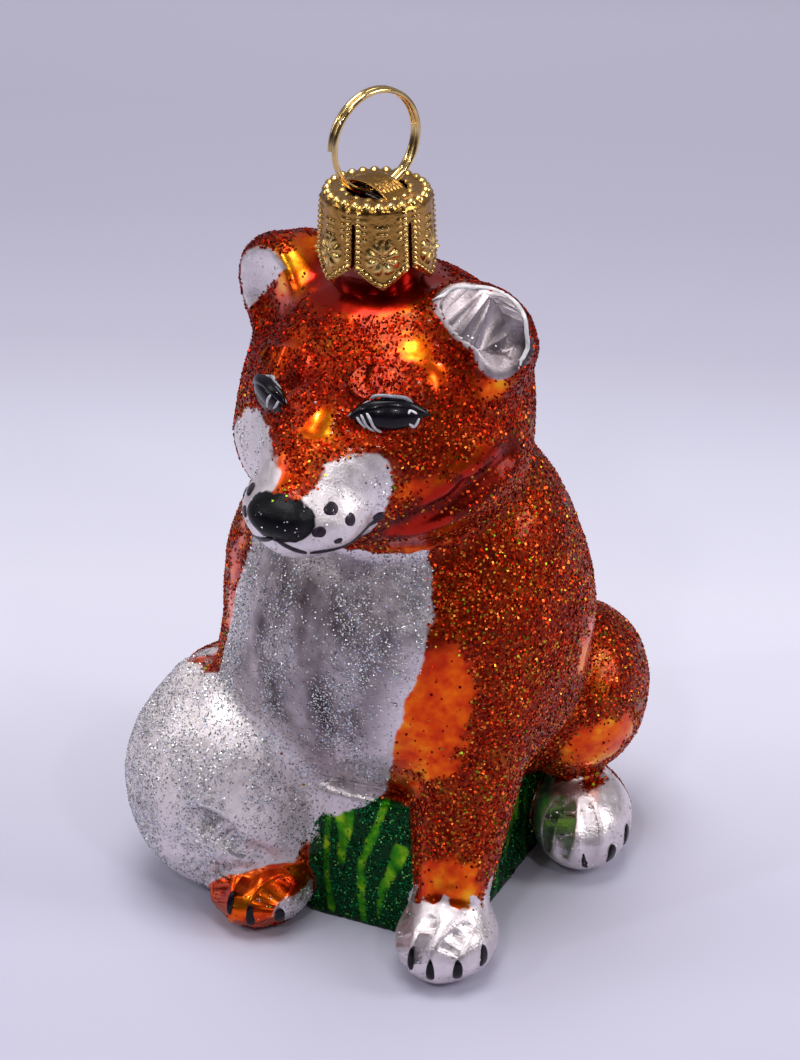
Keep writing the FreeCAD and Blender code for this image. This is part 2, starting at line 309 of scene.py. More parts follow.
HAUNCHES = [
    ("add", 1.2, ball, (13.0, 13, 18), (7.9, 9.4, 9.4)),
    ("add", 2.0, ball, (-11.8, 12, 17), (8.6, 9.6, 9.6)),
]
HIND_PAW = ("add", 1.5, ball, (15.8, 9.6, 5), (5.3, 7.6, 5.1), (0, 0, 25))
FOLIAGE = ("add", 0.8, slab, (2.5, 1, 7.5), (8.5, 13.2, 8), 1.0)
TAIL_END = ("add", 1.0, ball, (-15.9, -9.9, 12.5), (10.8, 10.4, 12.3))
# The tail from its end back to the rump, two dents near its tip, and the ridge on its outer side
TAIL = [
    ("add", 3.0, roll, (-17.3, -3, 14.3), (-15, 11, 11.5), 9.3, 8.2),
    ("add", 3.0, roll, (-15, 11, 11.5), (-4, 17, 8), 8.2, 5.0),
    ("cut", 1.0, ball, (-12.3, -20.4, 12.4), (3.4, 2.7, 1.7), (0, 38, 14)),
    ("cut", 0.8, ball, (-9.4, -18.2, 9.6), (3.4, 1.5, 1.0), (0, 30, 38)),
    ("add", 1.5, roll, (-24.0, -9.0, 14.0), (-20.4, -8.4, 22.4), 1.6, 1.9),
]
# Grooves between the toes
TOES = []
for paw, spread, rise in ((PAW_LEFT, (-2.9, -0.3, 2.2), 1.4), (PAW_RIGHT, (-2.4, 0.2, 2.6), 1.0)):
    for x in spread:
        middle = np.array(paw[3]) + (x, -5.2 + abs(x) * 0.35, rise)
        TOES.append(("cut", 0.8, ball, tuple(middle), (0.75, 3.3, 3.2), (0, 0, -x * 7)))
for angle in (-42, -18, 8):
    a = math.radians(angle + 25)
    middle = np.array(HIND_PAW[3]) + (5.7 * math.sin(a), -6.7 * math.cos(a), 1.6)
    TOES.append(("cut", 0.8, ball, tuple(middle), (0.75, 3.4, 3.2), (0, 0, angle + 25)))

EAR_LEFT_HOLLOW = (0.6, ball, (12.2, -7.0, 68.5), (5.8, 2.9, 2.2), (-33, 34, 11))
EAR_LEFT_CUP = (0.6, ball, (13.7, -6.7, 67.4), (2.0, 2.5, 4.1), (-24, -10, 8))
EAR_RIGHT_HOLLOW = (1.4, ball, (-13.0, -8.7, 66.6), (5.0, 2.9, 4.9), (0, -12, -26))
# Skull, cheeks, muzzle, two lips, chin, nose, brows, eye sockets, eyeballs, ears, the ridge by the
# right ear, the ears' hollows, and the crease under the left cheek
HEAD = [
    ("add", 3.0, ball, (-0.4, -3.6, 58.3), (14.3, 13.3, 11.8), (12, 0, 0)),
    ("add", 3.0, ball, (-0.2, -5.5, 53.0), (15.2, 12, 8.4), (12, 0, 0)),
    ("add", 3.0, roll, (0, -12.5, 55.6), (0, -21, 51.8), 7.6, 4.3),
    ("add", 1.5, ball, (2.4, -19.8, 51.4), (3.7, 4.2, 3.1)),
    ("add", 1.5, ball, (-2.4, -19.8, 51.4), (3.7, 4.2, 3.1)),
    ("add", 1.0, ball, (0, -19.0, 50.0), (3.4, 4.6, 2.2)),
    ("add", 0.7, ball, (0.1, -24.3, 52.9), (3.3, 2.3, 2.0), (12, 0, 0)),
    ("add", 1.6, ball, (5.9, -14.0, 63.6), (3.6, 1.8, 1.2), (0, 8, 36)),
    ("add", 1.6, ball, (-5.7, -14.6, 63.4), (3.6, 1.8, 1.2), (0, -8, -36)),
    ("cut", 1.6, ball, (6.9, -16.6, 60.8), (3.6, 1.5, 1.6), (0, 0, 38)),
    ("cut", 1.6, ball, (-6.9, -17.0, 60.6), (3.6, 1.5, 1.6), (0, 0, -38)),
    ("add", 0.9, ball, (6.3, -14.5, 60.9), (3.1, 1.6, 1.5), (0, 4, 38)),
    ("add", 0.9, ball, (-6.2, -15.0, 60.6), (3.1, 1.6, 1.5), (0, -4, -38)),
    ("add", 2.0, ball, (9.9, -4.9, 65.6), (6.1, 3.7, 5.6), (0, 26, 18)),
    ("add", 2.0, ball, (-12.0, -4.4, 65.6), (5.4, 3.6, 5.7), (0, -15, -20)),
    ("add", 1.6, ball, (-10.6, -1.8, 67.2), (3.5, 3.4, 3.9)),
    ("cut",) + EAR_LEFT_HOLLOW,
    ("cut",) + EAR_LEFT_CUP,
    ("cut",) + EAR_RIGHT_HOLLOW,
    ("cut", 1.4, roll, (7.6, -15.3, 48.9), (13.3, -11.6, 53.1), 0.9, 0.8),
    ("cut", 1.4, roll, (13.3, -11.6, 53.1), (14.9, -6.5, 55.2), 0.8, 0.6),
]
BODY = TORSO + [PAW_LEFT, PAW_RIGHT] + HAUNCHES + [HIND_PAW, FOLIAGE, TAIL_END] + TAIL + TOES


def surface(points):
    """Distance to the skin of the figure, cut off flat where it stands."""
    distance = None
    for forms, place in ((BODY, points), (HEAD, with_head(points))):
        for action, blend, kind, *sizes in forms:
            value = kind(place, *sizes)
            if distance is None:
                distance = value
            elif action == "add":
                distance = joined(distance, value, blend)
            else:
                distance = carved(distance, value, blend)
    return np.maximum(distance, -points[:, 2])


def relief(points):
    """Small hand-cut lines of the mould: leaves on the foliage, a wrinkled skin elsewhere."""
    leaf = slab(points, *FOLIAGE[3:])
    across = np.where(np.abs(points[:, 1] + 12.2) < 0.8, points[:, 0], points[:, 1])
    sway = 0.5 * np.sin(points[:, 2] * 0.55 + np.floor(across / 2.1) * 1.7)
    furrow = np.abs(((across + sway) / 2.1) % 1.0 - 0.5) * 2
    depth = np.where(leaf < 0.4, 0.30 * (1 - furrow ** 3), 0.0)
    soft = 0.10 * ripple(points, 9.0, 3) + 0.035 * ripple(points, 2.6, 5)
    return depth * np.clip((0.4 - leaf) * 3, 0, 1) + soft


def skin(points):
    """Distance to the skin with the mould's fine lines."""
    return surface(points) - relief(points)


def slope(points, step=0.05, field=surface):
    """The direction straight out of the skin at each point."""
    corners = np.array([[1, -1, -1], [-1, -1, 1], [-1, 1, -1], [1, 1, 1.0]])
    values = field((points + corners[:, None] * step).reshape(-1, 3)).reshape(4, -1)
    total = values.T @ corners
    return total / (np.linalg.norm(total, axis=1, keepdims=True) + 1e-12)


def settle(points, rounds=5, field=surface):
    """Moves points straight to the skin."""
    for _ in range(rounds):
        points = points - slope(points, field=field) * np.clip(field(points), -1.5, 1.5)[:, None] * 0.9
    return points


def put_mesh(name, points, faces, body, values=None, smooth=True):
    """A new piece from points in the figure's millimetres."""
    mesh = bpy.data.meshes.new(name)
    mesh.from_pydata((points + MIDDLE) * MM, [], faces)
    for key, numbers in (values or {}).items():
        layer = mesh.attributes.new(key, "FLOAT", "POINT")
        layer.data.foreach_set("value", np.asarray(numbers, np.float32))
    mesh.polygons.foreach_set("use_smooth", [smooth] * len(mesh.polygons))
    piece = bpy.data.objects.new(name, mesh)
    scene.collection.objects.link(piece)
    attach(piece, body)
    return piece


# Rough clay of round primitives at the forms' places, melted into one closed skin
SMALLEST_CLAY = 1.7
CLAY_GRID = 0.40 * MM
bpy.ops.object.select_all(action="DESELECT")
clay = []
for forms, on_head in ((BODY, False), (HEAD, True)):
    for action, blend, kind, *sizes in forms:
        too_small = kind is ball and min(sizes[1]) < SMALLEST_CLAY
        if action != "add" or too_small:
            continue
        spots = [(sizes[0], sizes[1], sizes[2] if len(sizes) > 2 else (0, 0, 0))]
        if kind is roll:
            (start, end), (thick, thin) = np.array(sizes[:2]), sizes[2:]
            steps = (0, 0.25, 0.5, 0.75, 1)
            spots = [(start * (1 - t) + end * t, [thick * (1 - t) + thin * t] * 3, (0, 0, 0)) for t in steps]
        for centre, radii, turn in spots:
            centre = off_head(centre)[0] if on_head else np.array(centre)
            angles = [math.radians(a) for a in turn] if kind is ball else (0, 0, 0)
            if kind is slab:
                bpy.ops.mesh.primitive_cube_add(size=2, location=(centre + MIDDLE) * MM)
            else:
                bpy.ops.mesh.primitive_uv_sphere_add(
                    segments=40, ring_count=24, location=(centre + MIDDLE) * MM, rotation=angles)
            bpy.context.object.scale = [r * MM for r in radii]
            clay.append(bpy.context.object)
for lump in clay:
    lump.select_set(True)
bpy.ops.object.join()
fox = bpy.context.object
fox.name = "fox_glass"
bpy.ops.object.transform_apply(location=True, rotation=True, scale=True)
melt = fox.modifiers.new("melt", "REMESH")
melt.mode = "VOXEL"
melt.voxel_size = CLAY_GRID
bpy.ops.object.modifier_apply(modifier=melt.name)

count = len(fox.data.vertices)
places = np.empty(count * 3)
fox.data.vertices.foreach_get("co", places)
places = places.reshape(-1, 3) / MM - MIDDLE
links = np.empty(len(fox.data.edges) * 2, int)
fox.data.edges.foreach_get("vertices", links)
links = links.reshape(-1, 2)
neighbours = np.bincount(links.ravel(), minlength=count)[:, None]


def relaxed(points):
    """Each point moves half way to the middle of its neighbours."""
    total = np.zeros_like(points)
    np.add.at(total, links[:, 0], points[links[:, 1]])
    np.add.at(total, links[:, 1], points[links[:, 0]])
    return points * 0.5 + total / neighbours * 0.5


for _ in range(2):
    places = settle(relaxed(places), 2)
places = settle(places, 2)
places = settle(places, 2, skin)
places[:, 2] = np.maximum(places[:, 2], 0.0)
normals = slope(places)
fox.data.vertices.foreach_set("co", ((places + MIDDLE) * MM).ravel())
fox.data.update()
fox.data.polygons.foreach_set("use_smooth", [True] * len(fox.data.polygons))


def within(points, outline):
    """Signed distance to a closed outline in a plane, above zero inside it."""
    corners = np.array(outline, float)
    closest = np.full(len(points), 1e9)
    inside = np.zeros(len(points), bool)
    for start, end in zip(corners, np.roll(corners, -1, 0)):
        run = end - start
        offset = points - start
        along = np.clip(offset @ run / (run @ run), 0, 1)
        closest = np.minimum(closest, np.linalg.norm(offset - along[:, None] * run, axis=1))
        crosses = (start[1] > points[:, 1]) != (end[1] > points[:, 1])
        limit = (end[0] - start[0]) * (points[:, 1] - start[1]) / (end[1] - start[1] + 1e-9) + start[0]
        inside ^= crosses & (points[:, 0] < limit)
    return np.where(inside, closest, -closest)


# Where the paint ends, each as an outline in millimetres
CHEST_OUTLINE = [
    (-12.2, 52), (-12.6, 40.3), (-14.1, 34.2), (-15.4, 29.2), (-16.4, 24.0), (-14.0, 15.0), (-8.0, 11.0),
    (-2.6, 12.4), (2.3, 15.6), (4.6, 21), (6.3, 28.4), (8.0, 33.4), (8.6, 38.7), (7.4, 44.1), (7.0, 52),
]
MUZZLE_LEFT_OUTLINE = [
    (-29, 54.4), (-24.0, 54.6), (-22.3, 55.3), (-20.6, 57.2), (-18.4, 57.9), (-16.8, 57.5), (-16.0, 56.0),
    (-16.7, 53.0), (-16.6, 50.2), (-16.4, 46), (-29, 44),
]
MUZZLE_RIGHT_OUTLINE = [
    (-29, 54.4), (-25.0, 55.2), (-21.2, 57.0), (-18.2, 58.2), (-15.4, 58.2), (-12.9, 56.4), (-11.9, 52.8),
    (-13.4, 46), (-29, 44),
]

SOLID_BODY = [form for form in BODY if form[0] == "add"]
SOLID_HEAD = [form for form in HEAD if form[0] == "add"]
# Stands for a place that a paint never reaches
NOT_HERE = -9.0


def nearest(forms, points):
    """Distance to the nearest of some forms before they are blended."""
    return np.minimum.reduce([form[2](points, *form[3:]) for form in forms])


def chest_paint(points, on_head, on_torso, on_tail):
    """How far each point lies inside the silver of the chest."""
    x, y, z = points.T
    chest = within(np.stack([x, z], 1), CHEST_OUTLINE)
    return np.minimum.reduce([chest, -4.0 - y, on_head - on_torso + 0.2, on_tail - on_torso + 0.2])


def muzzle_paint(head, on_head, on_torso):
    """How far each point lies inside the silver of the muzzle and its lips."""
    x, y, z = head.T
    from_the_side = np.stack([y, z], 1)
    left = np.minimum(within(from_the_side, MUZZLE_LEFT_OUTLINE), x - 0.3 + (z < 53) * 4)
    right = np.minimum(within(from_the_side, MUZZLE_RIGHT_OUTLINE), -0.8 - x + (z < 54) * 4)
    muzzle = np.where(x > 0.3, left, right)
    under_the_lip = (z < 51.5) & (y < -16.6)
    muzzle = np.where(under_the_lip, np.maximum(muzzle, 0.6), muzzle)
    return np.minimum(muzzle, on_torso - on_head + 0.2)


def tail_paint(points, on_torso, on_tail):
    """How far each point lies inside the silver of the tail's end."""
    x, y, z = points.T
    below_the_tip = 24.4 - z - 0.2 * (y + 9)
    beside_the_paw = nearest([PAW_RIGHT], points) - on_tail + 0.2
    return np.minimum.reduce([-3.0 - y, below_the_tip, on_torso - on_tail + 0.3, -4.4 - x, beside_the_paw])


def paw_paint(points):
    """How far each point lies inside the silver of the paws."""
    x, y, z = points.T
    front = np.minimum.reduce([8.9 - z + 1.4 * ripple(points, 2.6, 12), x - 5.0, -8.0 - y])
    front = np.minimum(front, nearest([FOLIAGE], points) - nearest([PAW_LEFT], points) + 1.2)
    hind = 0.9 - np.abs(nearest([HIND_PAW], points))
    hind = np.minimum.reduce([hind, 9.8 - z + 0.4 * ripple(points, 2, 13), x - 11.6, 13 - y])
    inner_side = np.minimum.reduce([x + 6.2, -12.8 - y, 4.6 - z, 2.0 + 0 * x])
    return np.maximum.reduce([front, hind, np.where(x < 0, inner_side, NOT_HERE)])


def ear_paint(head):
    """How far each point lies inside the hollow of the left ear, and inside that of the right one."""
    x, _, z = head.T
    left = [0.7 - np.abs(ball(head, *hollow[2:])) for hollow in (EAR_LEFT_HOLLOW, EAR_LEFT_CUP)]
    upper_part = 0.8 * (-10.6 - x) + 0.7 * (z - 65.6) - 2.0
    return np.maximum.reduce(left), np.minimum(0.6 - np.abs(ball(head, *EAR_RIGHT_HOLLOW[2:])), upper_part)


def bare_spots(points, head):
    """How far each point lies inside a place that the glitter missed."""
    bare = np.full(len(points), NOT_HERE)
    for on_head, centre, radii in BARE_SPOTS:
        near = np.linalg.norm(((head if on_head else points) - np.array(centre)) / np.array(radii), axis=1)
        bare = np.maximum(bare, (1.0 - near) * min(radii))
    return bare


def leaf_veins(points):
    """How far each point lies inside a bright vein, on the front of the foliage and along its sides."""
    x, y, z = points.T
    across = np.where(np.abs(y + 12.2) < 1.2, x, (y + 12.0) % 7.2 - 2.4)
    flat = np.stack([across, 0 * z, z + 0.15 * np.sin(across * 4)], 1)
    leaf = np.full(len(points), NOT_HERE)
    for vein in VEINS:
        for (x0, z0, wide), (x1, z1, thin) in zip(vein, vein[1:]):
            leaf = np.maximum(leaf, -roll(flat, (x0, 0, z0), (x1, 0, z1), wide, thin))
    return leaf + 0.12 * ripple(points, 1.8, 61)


def zones(points):
    """How far each point lies inside each paint, how deep its lacquer is with the painted shade in its
    creases, and how bare of glitter.
    """
    head = with_head(points)
    z = points[:, 2]
    on_head = nearest(SOLID_HEAD, head)
    on_torso = nearest(TORSO, points)
    on_tail = np.minimum(nearest([TAIL_END], points), nearest(TAIL[:1], points) + 0.5)
    chest = chest_paint(points, on_head, on_torso, on_tail)
    muzzle = muzzle_paint(head, on_head, on_torso)
    tail = tail_paint(points, on_torso, on_tail)
    silver = np.maximum.reduce([chest, muzzle, tail, paw_paint(points)])
    silver = np.where(np.abs(silver) < 3, silver + 0.27 * ripple(points, 3.2, 11), silver)
    ear_left, ear_right = ear_paint(head)
    ear_left_seen = np.where(head[:, 1] < -3, ear_left, NOT_HERE)
    silver = np.maximum.reduce([silver, ear_left_seen, np.where(head[:, 1] < -2, ear_right, NOT_HERE)])
    others = nearest(TORSO + [PAW_LEFT, PAW_RIGHT, HIND_PAW, TAIL_END], points)
    green = np.minimum(others - nearest([FOLIAGE], points) + 0.15, 15.6 - z)
    nose = 0.42 - ball(head, (0.2, -24.5, 52.8), (3.3, 2.4, 1.9), (12, 0, 0))
    nose = nose + 0.12 * ripple(points, 1.4, 17)

    # Lacquer is darker where forms meet, in the cheek's crease, on the crown and round the neck: partly
    # lacquer that pools there, partly painted shade in the creases and under the cap
    pool_and_shade = 1.1 * (np.minimum(nearest(SOLID_BODY, points), on_head) - surface(points)) - 0.5
    for crease in HEAD:
        if crease[0] == "cut" and crease[2] is roll:
            pool_and_shade = np.maximum(pool_and_shade, 2.4 - 1.1 * np.abs(roll(head, *crease[3:])))
    from_neck = np.linalg.norm(points[:, :2] - NECK[:2], axis=1)
    under_cap = np.where(z > 60, 7.0 - from_neck, NOT_HERE)
    bare = np.maximum(bare_spots(points, head), under_cap)
    pool_and_shade = np.where(bare < 0, pool_and_shade + np.clip((z - 57) / 5, 0, 1) * 0.8, pool_and_shade)
    pool_and_shade = np.maximum(pool_and_shade, under_cap * 0.8 + 0.7)

    # Above zero the silver takes painted shade and painted dark reflections, darkest in the chest's middle
    # and in the left ear's hollow; below zero it is paler and less like a mirror
    chest_painted_shade = np.clip(chest / 4.5, 0, 1) * np.clip((z - 13) / 12, 0.25, 1)
    ear_painted_shade = np.clip(ear_left * 3 + 1, 0, 1) * (head[:, 2] > 60) * (head[:, 0] > 5)
    shade = np.maximum(chest_painted_shade, ear_painted_shade)
    shade = np.where(np.maximum(tail, muzzle) > -0.5, np.where(z > 40, -0.5, -1.0), shade)
    return {
        "silver": silver, "green": green, "black": nose, "pool_and_shade": np.clip(pool_and_shade, 0, 3),
        "bare": bare + 0.7 * ripple(points, 2.4, 21), "shade": shade, "leaf": leaf_veins(points),
    }


# Bright veins of the leaves: place along the side, height and half width
VEINS = [
    ((-1.6, 15.4, 1.5), (-1.4, 11.5, 0.9), (-1.9, 7.0, 0.35)),
    ((3.1, 15.4, 0.35), (1.9, 11.4, 0.5), (0.5, 7.7, 0.45), (0.4, 3.2, 0.5), (0.7, 0.6, 0.3)),
    ((4.9, 10.2, 0.95), (3.8, 7.1, 0.6), (2.7, 4.6, 0.4), (2.4, 1.6, 0.25)),
    ((-3.2, 13.0, 0.3), (-3.6, 6.0, 0.3), (-3.0, 1.0, 0.4)),
]

# Places that the glitter missed: on the head or not, centre and radii
BARE_SPOTS = [
    (True, (7.0, -10.6, 66.0), (1.9, 1.3, 1.3)), (True, (8.7, -11.0, 64.0), (1.6, 1.1, 1.1)),
    (True, (-5.2, -13.8, 64.4), (1.2, 1.8, 3.4)), (True, (-8.4, -3.7, 69.6), (3.4, 3.4, 2.6)),
    (True, (-9.4, -7.6, 67.6), (2.6, 3.0, 3.4)), (True, (-1.4, -22.9, 55.9), (1.7, 2.3, 2.1)),
    (True, (1.0, -18.9, 60.2), (1.6, 1.4, 1.6)), (True, (10.6, -13.6, 53.6), (3.4, 2.6, 1.2)),
    (True, (9.9, -13.1, 48.9), (4.0, 3.0, 1.6)),
    (True, (13.4, -8.0, 62.2), (2.0, 2.4, 1.4)), (True, (-13.2, -9.6, 65.4), (2.4, 2.4, 2.4)),
    (True, (12.0, -9.5, 55.6), (2.4, 3.0, 1.2)), (False, (6.6, -12.4, 45.8), (2.6, 2.6, 1.8)),
    (False, (18.8, 3.0, 29.6), (2.6, 3.4, 3.4)), (False, (19.4, 6.8, 15.6), (4.4, 5.0, 3.2)),
    (False, (9.6, -13.8, 30.4), (3.8, 3.4, 6.4)), (False, (7.4, -14.4, 25.0), (5.0, 4.0, 4.6)),
    (False, (4.4, -12.4, 18.8), (3.0, 3.0, 2.6)), (False, (12.0, -16.4, 10.4), (4.0, 3.0, 3.2)),
    (False, (-9.6, -17.0, 4.4), (6.0, 6.0, 4.0)), (False, (-14.6, -7.4, 34.0), (1.5, 4.0, 9.0)),
    (False, (-21.0, -6.4, 22.8), (4.0, 4.0, 2.0)),
]

painted = zones(places)
for key, numbers in painted.items():
    layer = fox.data.attributes.new(key, "FLOAT", "POINT")
    layer.data.foreach_set("value", numbers.astype(np.float32))

glass, glass_surface, s = material("painted_silvered_glass", roughness=0.3, coat_roughness=0.08)
place = s.object_place()
broad = s.noise(place, 170, 3, 0.55)
streak = s.noise(place, 420, 3, 0.6)
cloud = s.noise(place, 900, 2)
ragged = s.math("MULTIPLY_ADD", streak, 0.5, -0.25)
silver = s.step(s.math("ADD", s.attribute("silver"), ragged), -0.16, 0.16)
bare = s.step(s.attribute("bare"), -0.5, 0.6)
# Pooled lacquer and painted shade: the orange turns deep red in creases, on the crown and under the cap
pool_and_shade = s.step(s.math("MULTIPLY_ADD", broad, 0.5, s.attribute("pool_and_shade")), 0.35, 1.5)
lacquer = s.ramp(s.math("MULTIPLY_ADD", streak, 0.55, s.math("MULTIPLY", broad, 0.5)), [
    (0.34, linear(150, 14, 2)), (0.46, linear(218, 58, 3)), (0.56, linear(244, 100, 5)),
    (0.70, linear(255, 176, 30)),
])
lacquer = s.mix(pool_and_shade, lacquer, linear(170, 24, 5))
dusted = s.ramp(s.cells(place, 4200, 1), [
    (0.15, linear(52, 6, 2)), (0.45, linear(108, 18, 5)), (0.75, linear(150, 38, 10)),
    (0.95, linear(200, 90, 30)),
])
dusted = s.mix(s.math("MULTIPLY", pool_and_shade, 0.7), dusted, linear(70, 6, 2))
orange = s.mix(s.math("MULTIPLY", s.math("SUBTRACT", 1.0, bare), 0.86), lacquer, dusted)
satin = s.ramp(s.math("MULTIPLY_ADD", cloud, 0.4, s.math("MULTIPLY", broad, 0.6)), [
    (0.3, linear(206, 194, 196)), (0.7, linear(246, 236, 238)),
])
# Painted shade and painted dark reflections: mottled darker silver, in upright streaks on the chest and in
# the left ear's hollow
long_place = s.node("ShaderNodeMapping", Vector=place, Scale=(1.0, 1.0, 0.6))
mottle = s.math("MULTIPLY_ADD", s.noise(long_place, 250, 2, 0.5), 0.85, s.math("MULTIPLY", cloud, 0.15))
shade_and_reflection_mottle = s.ramp(mottle, [
    (0.34, linear(78, 66, 70)), (0.44, linear(134, 121, 125)), (0.56, linear(180, 168, 172)),
    (0.70, linear(226, 214, 217)),
])
satin = s.mix(s.attribute("shade"), satin, shade_and_reflection_mottle)
leafy = s.mix(s.step(s.attribute("leaf"), -0.16, 0.20), linear(3, 50, 14), s.ramp(streak, [
    (0.35, linear(22, 104, 4)), (0.5, linear(62, 146, 4)), (0.68, linear(150, 196, 24)),
]))
green = s.step(s.attribute("green"), -0.12, 0.12)
black = s.step(s.attribute("black"), -0.08, 0.08)
color = s.mix(green, orange, leafy)
color = s.mix(silver, color, satin)
color = s.mix(black, color, linear(8, 6, 10))
s.put(glass_surface.inputs["Base Color"], color)
pale = s.math("MINIMUM", s.attribute("shade"), 0.0)
mirror = s.math("MULTIPLY_ADD", pale, 0.6, 0.95)
s.put(glass_surface.inputs["Metallic"], s.math("MULTIPLY", mirror, s.step(black, 0.0, 1.0, 1.0, 0.0)))
s.put(glass_surface.inputs["Coat Weight"], s.math("MULTIPLY", s.math("SUBTRACT", 1.0, black), 0.12))
s.put(glass_surface.inputs["Specular IOR Level"], s.step(black, 0.0, 1.0, 0.5, 0.14))
dimmed = s.math("MAXIMUM", s.attribute("shade"), 0.0)
soft = s.math("MULTIPLY_ADD", dimmed, 0.14, s.step(cloud, 0.3, 0.7, 0.34, 0.46))
rough = s.mix(silver, s.step(bare, 0, 1, 0.42, 0.24), soft)
s.put(glass_surface.inputs["Roughness"], rough)
glued = s.math("SUBTRACT", 1.0, bare)
height = s.math("MULTIPLY_ADD", s.cells(place, 3600, 0), glued, s.math("MULTIPLY", cloud, 0.5))
s.put(glass_surface.inputs["Normal"], s.bump(height, 0.00006, 0.35))
fox.data.materials.clear()
fox.data.materials.append(glass)
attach(fox, "fox")
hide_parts("glass_fox")

# Neck
# The open tube that the figure was blown through, with a lip rounded in the
# flame. It is one glass with the head, silvered inside and lacquered dark
# red, and the cap hides it.

NECK_TOP = 78.057
NECK_FOOT = 67.0
NECK_RADIUS = 4.4
NECK_BORE = 3.5
LIP = 0.45


def turned(name, outline, columns, body):
    """A form turned around the neck's upright axis from a closed outline of radii and heights."""
    angles = np.arange(columns) * 2 * math.pi / columns
    points = np.array([NECK + (r * math.cos(a), r * math.sin(a), z) for r, z in outline for a in angles])
    rows = len(outline)
    faces = [
        (row * columns + i, row * columns + (i + 1) % columns,
         (row + 1) % rows * columns + (i + 1) % columns, (row + 1) % rows * columns + i)
        for row in range(rows) for i in range(columns)
    ]
    return put_mesh(name, points, faces, body)


lip = []
for turn in np.radians(range(0, 181, 20)):
    lip.append((NECK_RADIUS - LIP + LIP * math.cos(turn), NECK_TOP - LIP + LIP * math.sin(turn)))
outside, inside = (NECK_RADIUS, 72.0), (NECK_BORE, 72.0)
outline = [(NECK_RADIUS, NECK_FOOT), outside] + lip + [inside, (NECK_BORE, NECK_FOOT)]
neck = turned("fox_neck", outline, 64, "fox")
neck_material, neck_surface, s = material("silvered_neck", metallic=0.9, roughness=0.22, coat=0.5)
tint = s.ramp(s.noise(s.object_place(), 260, 3), [(0.35, linear(84, 8, 4)), (0.65, linear(150, 36, 12))])
s.put(neck_surface.inputs["Base Color"], tint)
neck.data.materials.append(neck_material)

# Enamel
# Eyes, whisker dots, mouth line, claws and the fine line on the left ear are
# thick black, plum, white and grey enamel, laid on by hand with a fine brush
# and slightly raised. The small white ring in each eye, and the white and grey
# lines in the tail's dent, are built the same way but are a painted highlight
# and a painted shadow.


def smooth_loop(corners, count=40):
    """A closed smooth outline through a few corners."""
    corners = np.array(corners, float)
    spots = []
    for i in range(len(corners)):
        a, b, c, d = (corners[(i + k) % len(corners)] for k in (-1, 0, 1, 2))
        for t in np.linspace(0, 1, max(2, count // len(corners)), endpoint=False):
            square, cube = 2 * a - 5 * b + 4 * c - d, 3 * b - a - 3 * c + d
            spots.append(0.5 * (2 * b + (c - a) * t + square * t ** 2 + cube * t ** 3))
    return np.array(spots)


def dab(centre, right, outline, height, lift=0.02, turned_head=True):
    """A raised drop of enamel with an outline in the plane that touches the skin at its centre."""
    centre = off_head(centre) if turned_head else np.atleast_2d(np.array(centre, float))
    centre = settle(centre)
    out = slope(centre)[0]
    if turned_head:
        right = (off_head(np.array(right, float)) - off_head((0, 0, 0)))[0]
    right = np.array(right, float) - out * (np.array(right, float) @ out)
    right /= np.linalg.norm(right)
    up = np.cross(out, right)
    rim = smooth_loop(outline)
    n = len(rim)
    middle = rim.mean(0)
    shares = np.repeat([0.35, 0.62, 0.82, 0.94, 1.0], n)[:, None]
    flat = middle + (np.tile(rim, (5, 1)) - middle) * shares
    spots = settle(centre[0] + flat[:, :1] * right + flat[:, 1:] * up)
    normal = slope(spots)
    tops = spots + normal * (lift + height * np.sqrt(np.maximum(0, 1 - shares ** 4)))
    low = spots[-n:] - normal[-n:] * 0.12
    peak = settle(centre[0:1] + middle[0] * right + middle[1] * up)
    normal = slope(peak)
    points = np.concatenate([peak + normal * (lift + height), tops, low, peak - normal * 0.3])
    faces = []
    for i in range(n):
        j = (i + 1) % n
        faces.append((0, 1 + i, 1 + j))
        for ring in range(1, 1 + 5 * n, n):
            faces.append((ring + i, ring + n + i, ring + n + j, ring + j))
        faces.append((1 + 5 * n + i, len(points) - 1, 1 + 5 * n + j))
    return points, faces


# Across a brush line: share of its half width, millimetres sunk, share of its height
BRUSH_PROFILE = [
    (-1.0, -0.12, 0), (-0.8, 0, 0.6), (-0.4, 0, 0.95), (0.0, 0, 1.0), (0.4, 0, 0.95), (0.8, 0, 0.6),
    (1.0, -0.12, 0),
]


def stroke(path, width, height, turned_head=True, lift=0.02):
    """A brush line along a few places, thickest in its middle."""
    path = off_head(path) if turned_head else np.array(path, float)
    runs = np.linspace(0, len(path) - 1, 26)
    line = np.stack([np.interp(runs, range(len(path)), path[:, k]) for k in range(3)], 1)
    for _ in range(3):
        line[1:-1] = (line[:-2] + line[1:-1] * 2 + line[2:]) / 4
    line = settle(line)
    out = slope(line)
    ahead = np.gradient(line, axis=0)
    ahead /= np.linalg.norm(ahead, axis=1, keepdims=True)
    side = np.cross(ahead, out)
    swell = np.sqrt(np.clip(1 - (np.linspace(-1, 1, len(line))) ** 4, 0.02, 1))[:, None]
    across, sink, rise = (np.repeat(column, len(line))[:, None] for column in zip(*BRUSH_PROFILE))
    rows = len(BRUSH_PROFILE)
    spots = settle(np.tile(line, (rows, 1)) + np.tile(side * swell, (rows, 1)) * across * width)
    ridge = spots + slope(spots) * (lift + sink + rise * height)
    points = np.concatenate([ridge, line - out * 0.15])
    count, last = len(line), rows + 1
    faces = []
    for row in range(last):
        for i in range(count - 1):
            a, b = row * count + i, (row + 1) % last * count + i
            faces.append((a, b, b + 1, a + 1))
    faces.append(tuple(row * count for row in range(last)))
    faces.append(tuple(row * count + count - 1 for row in reversed(range(last))))
    return points, faces


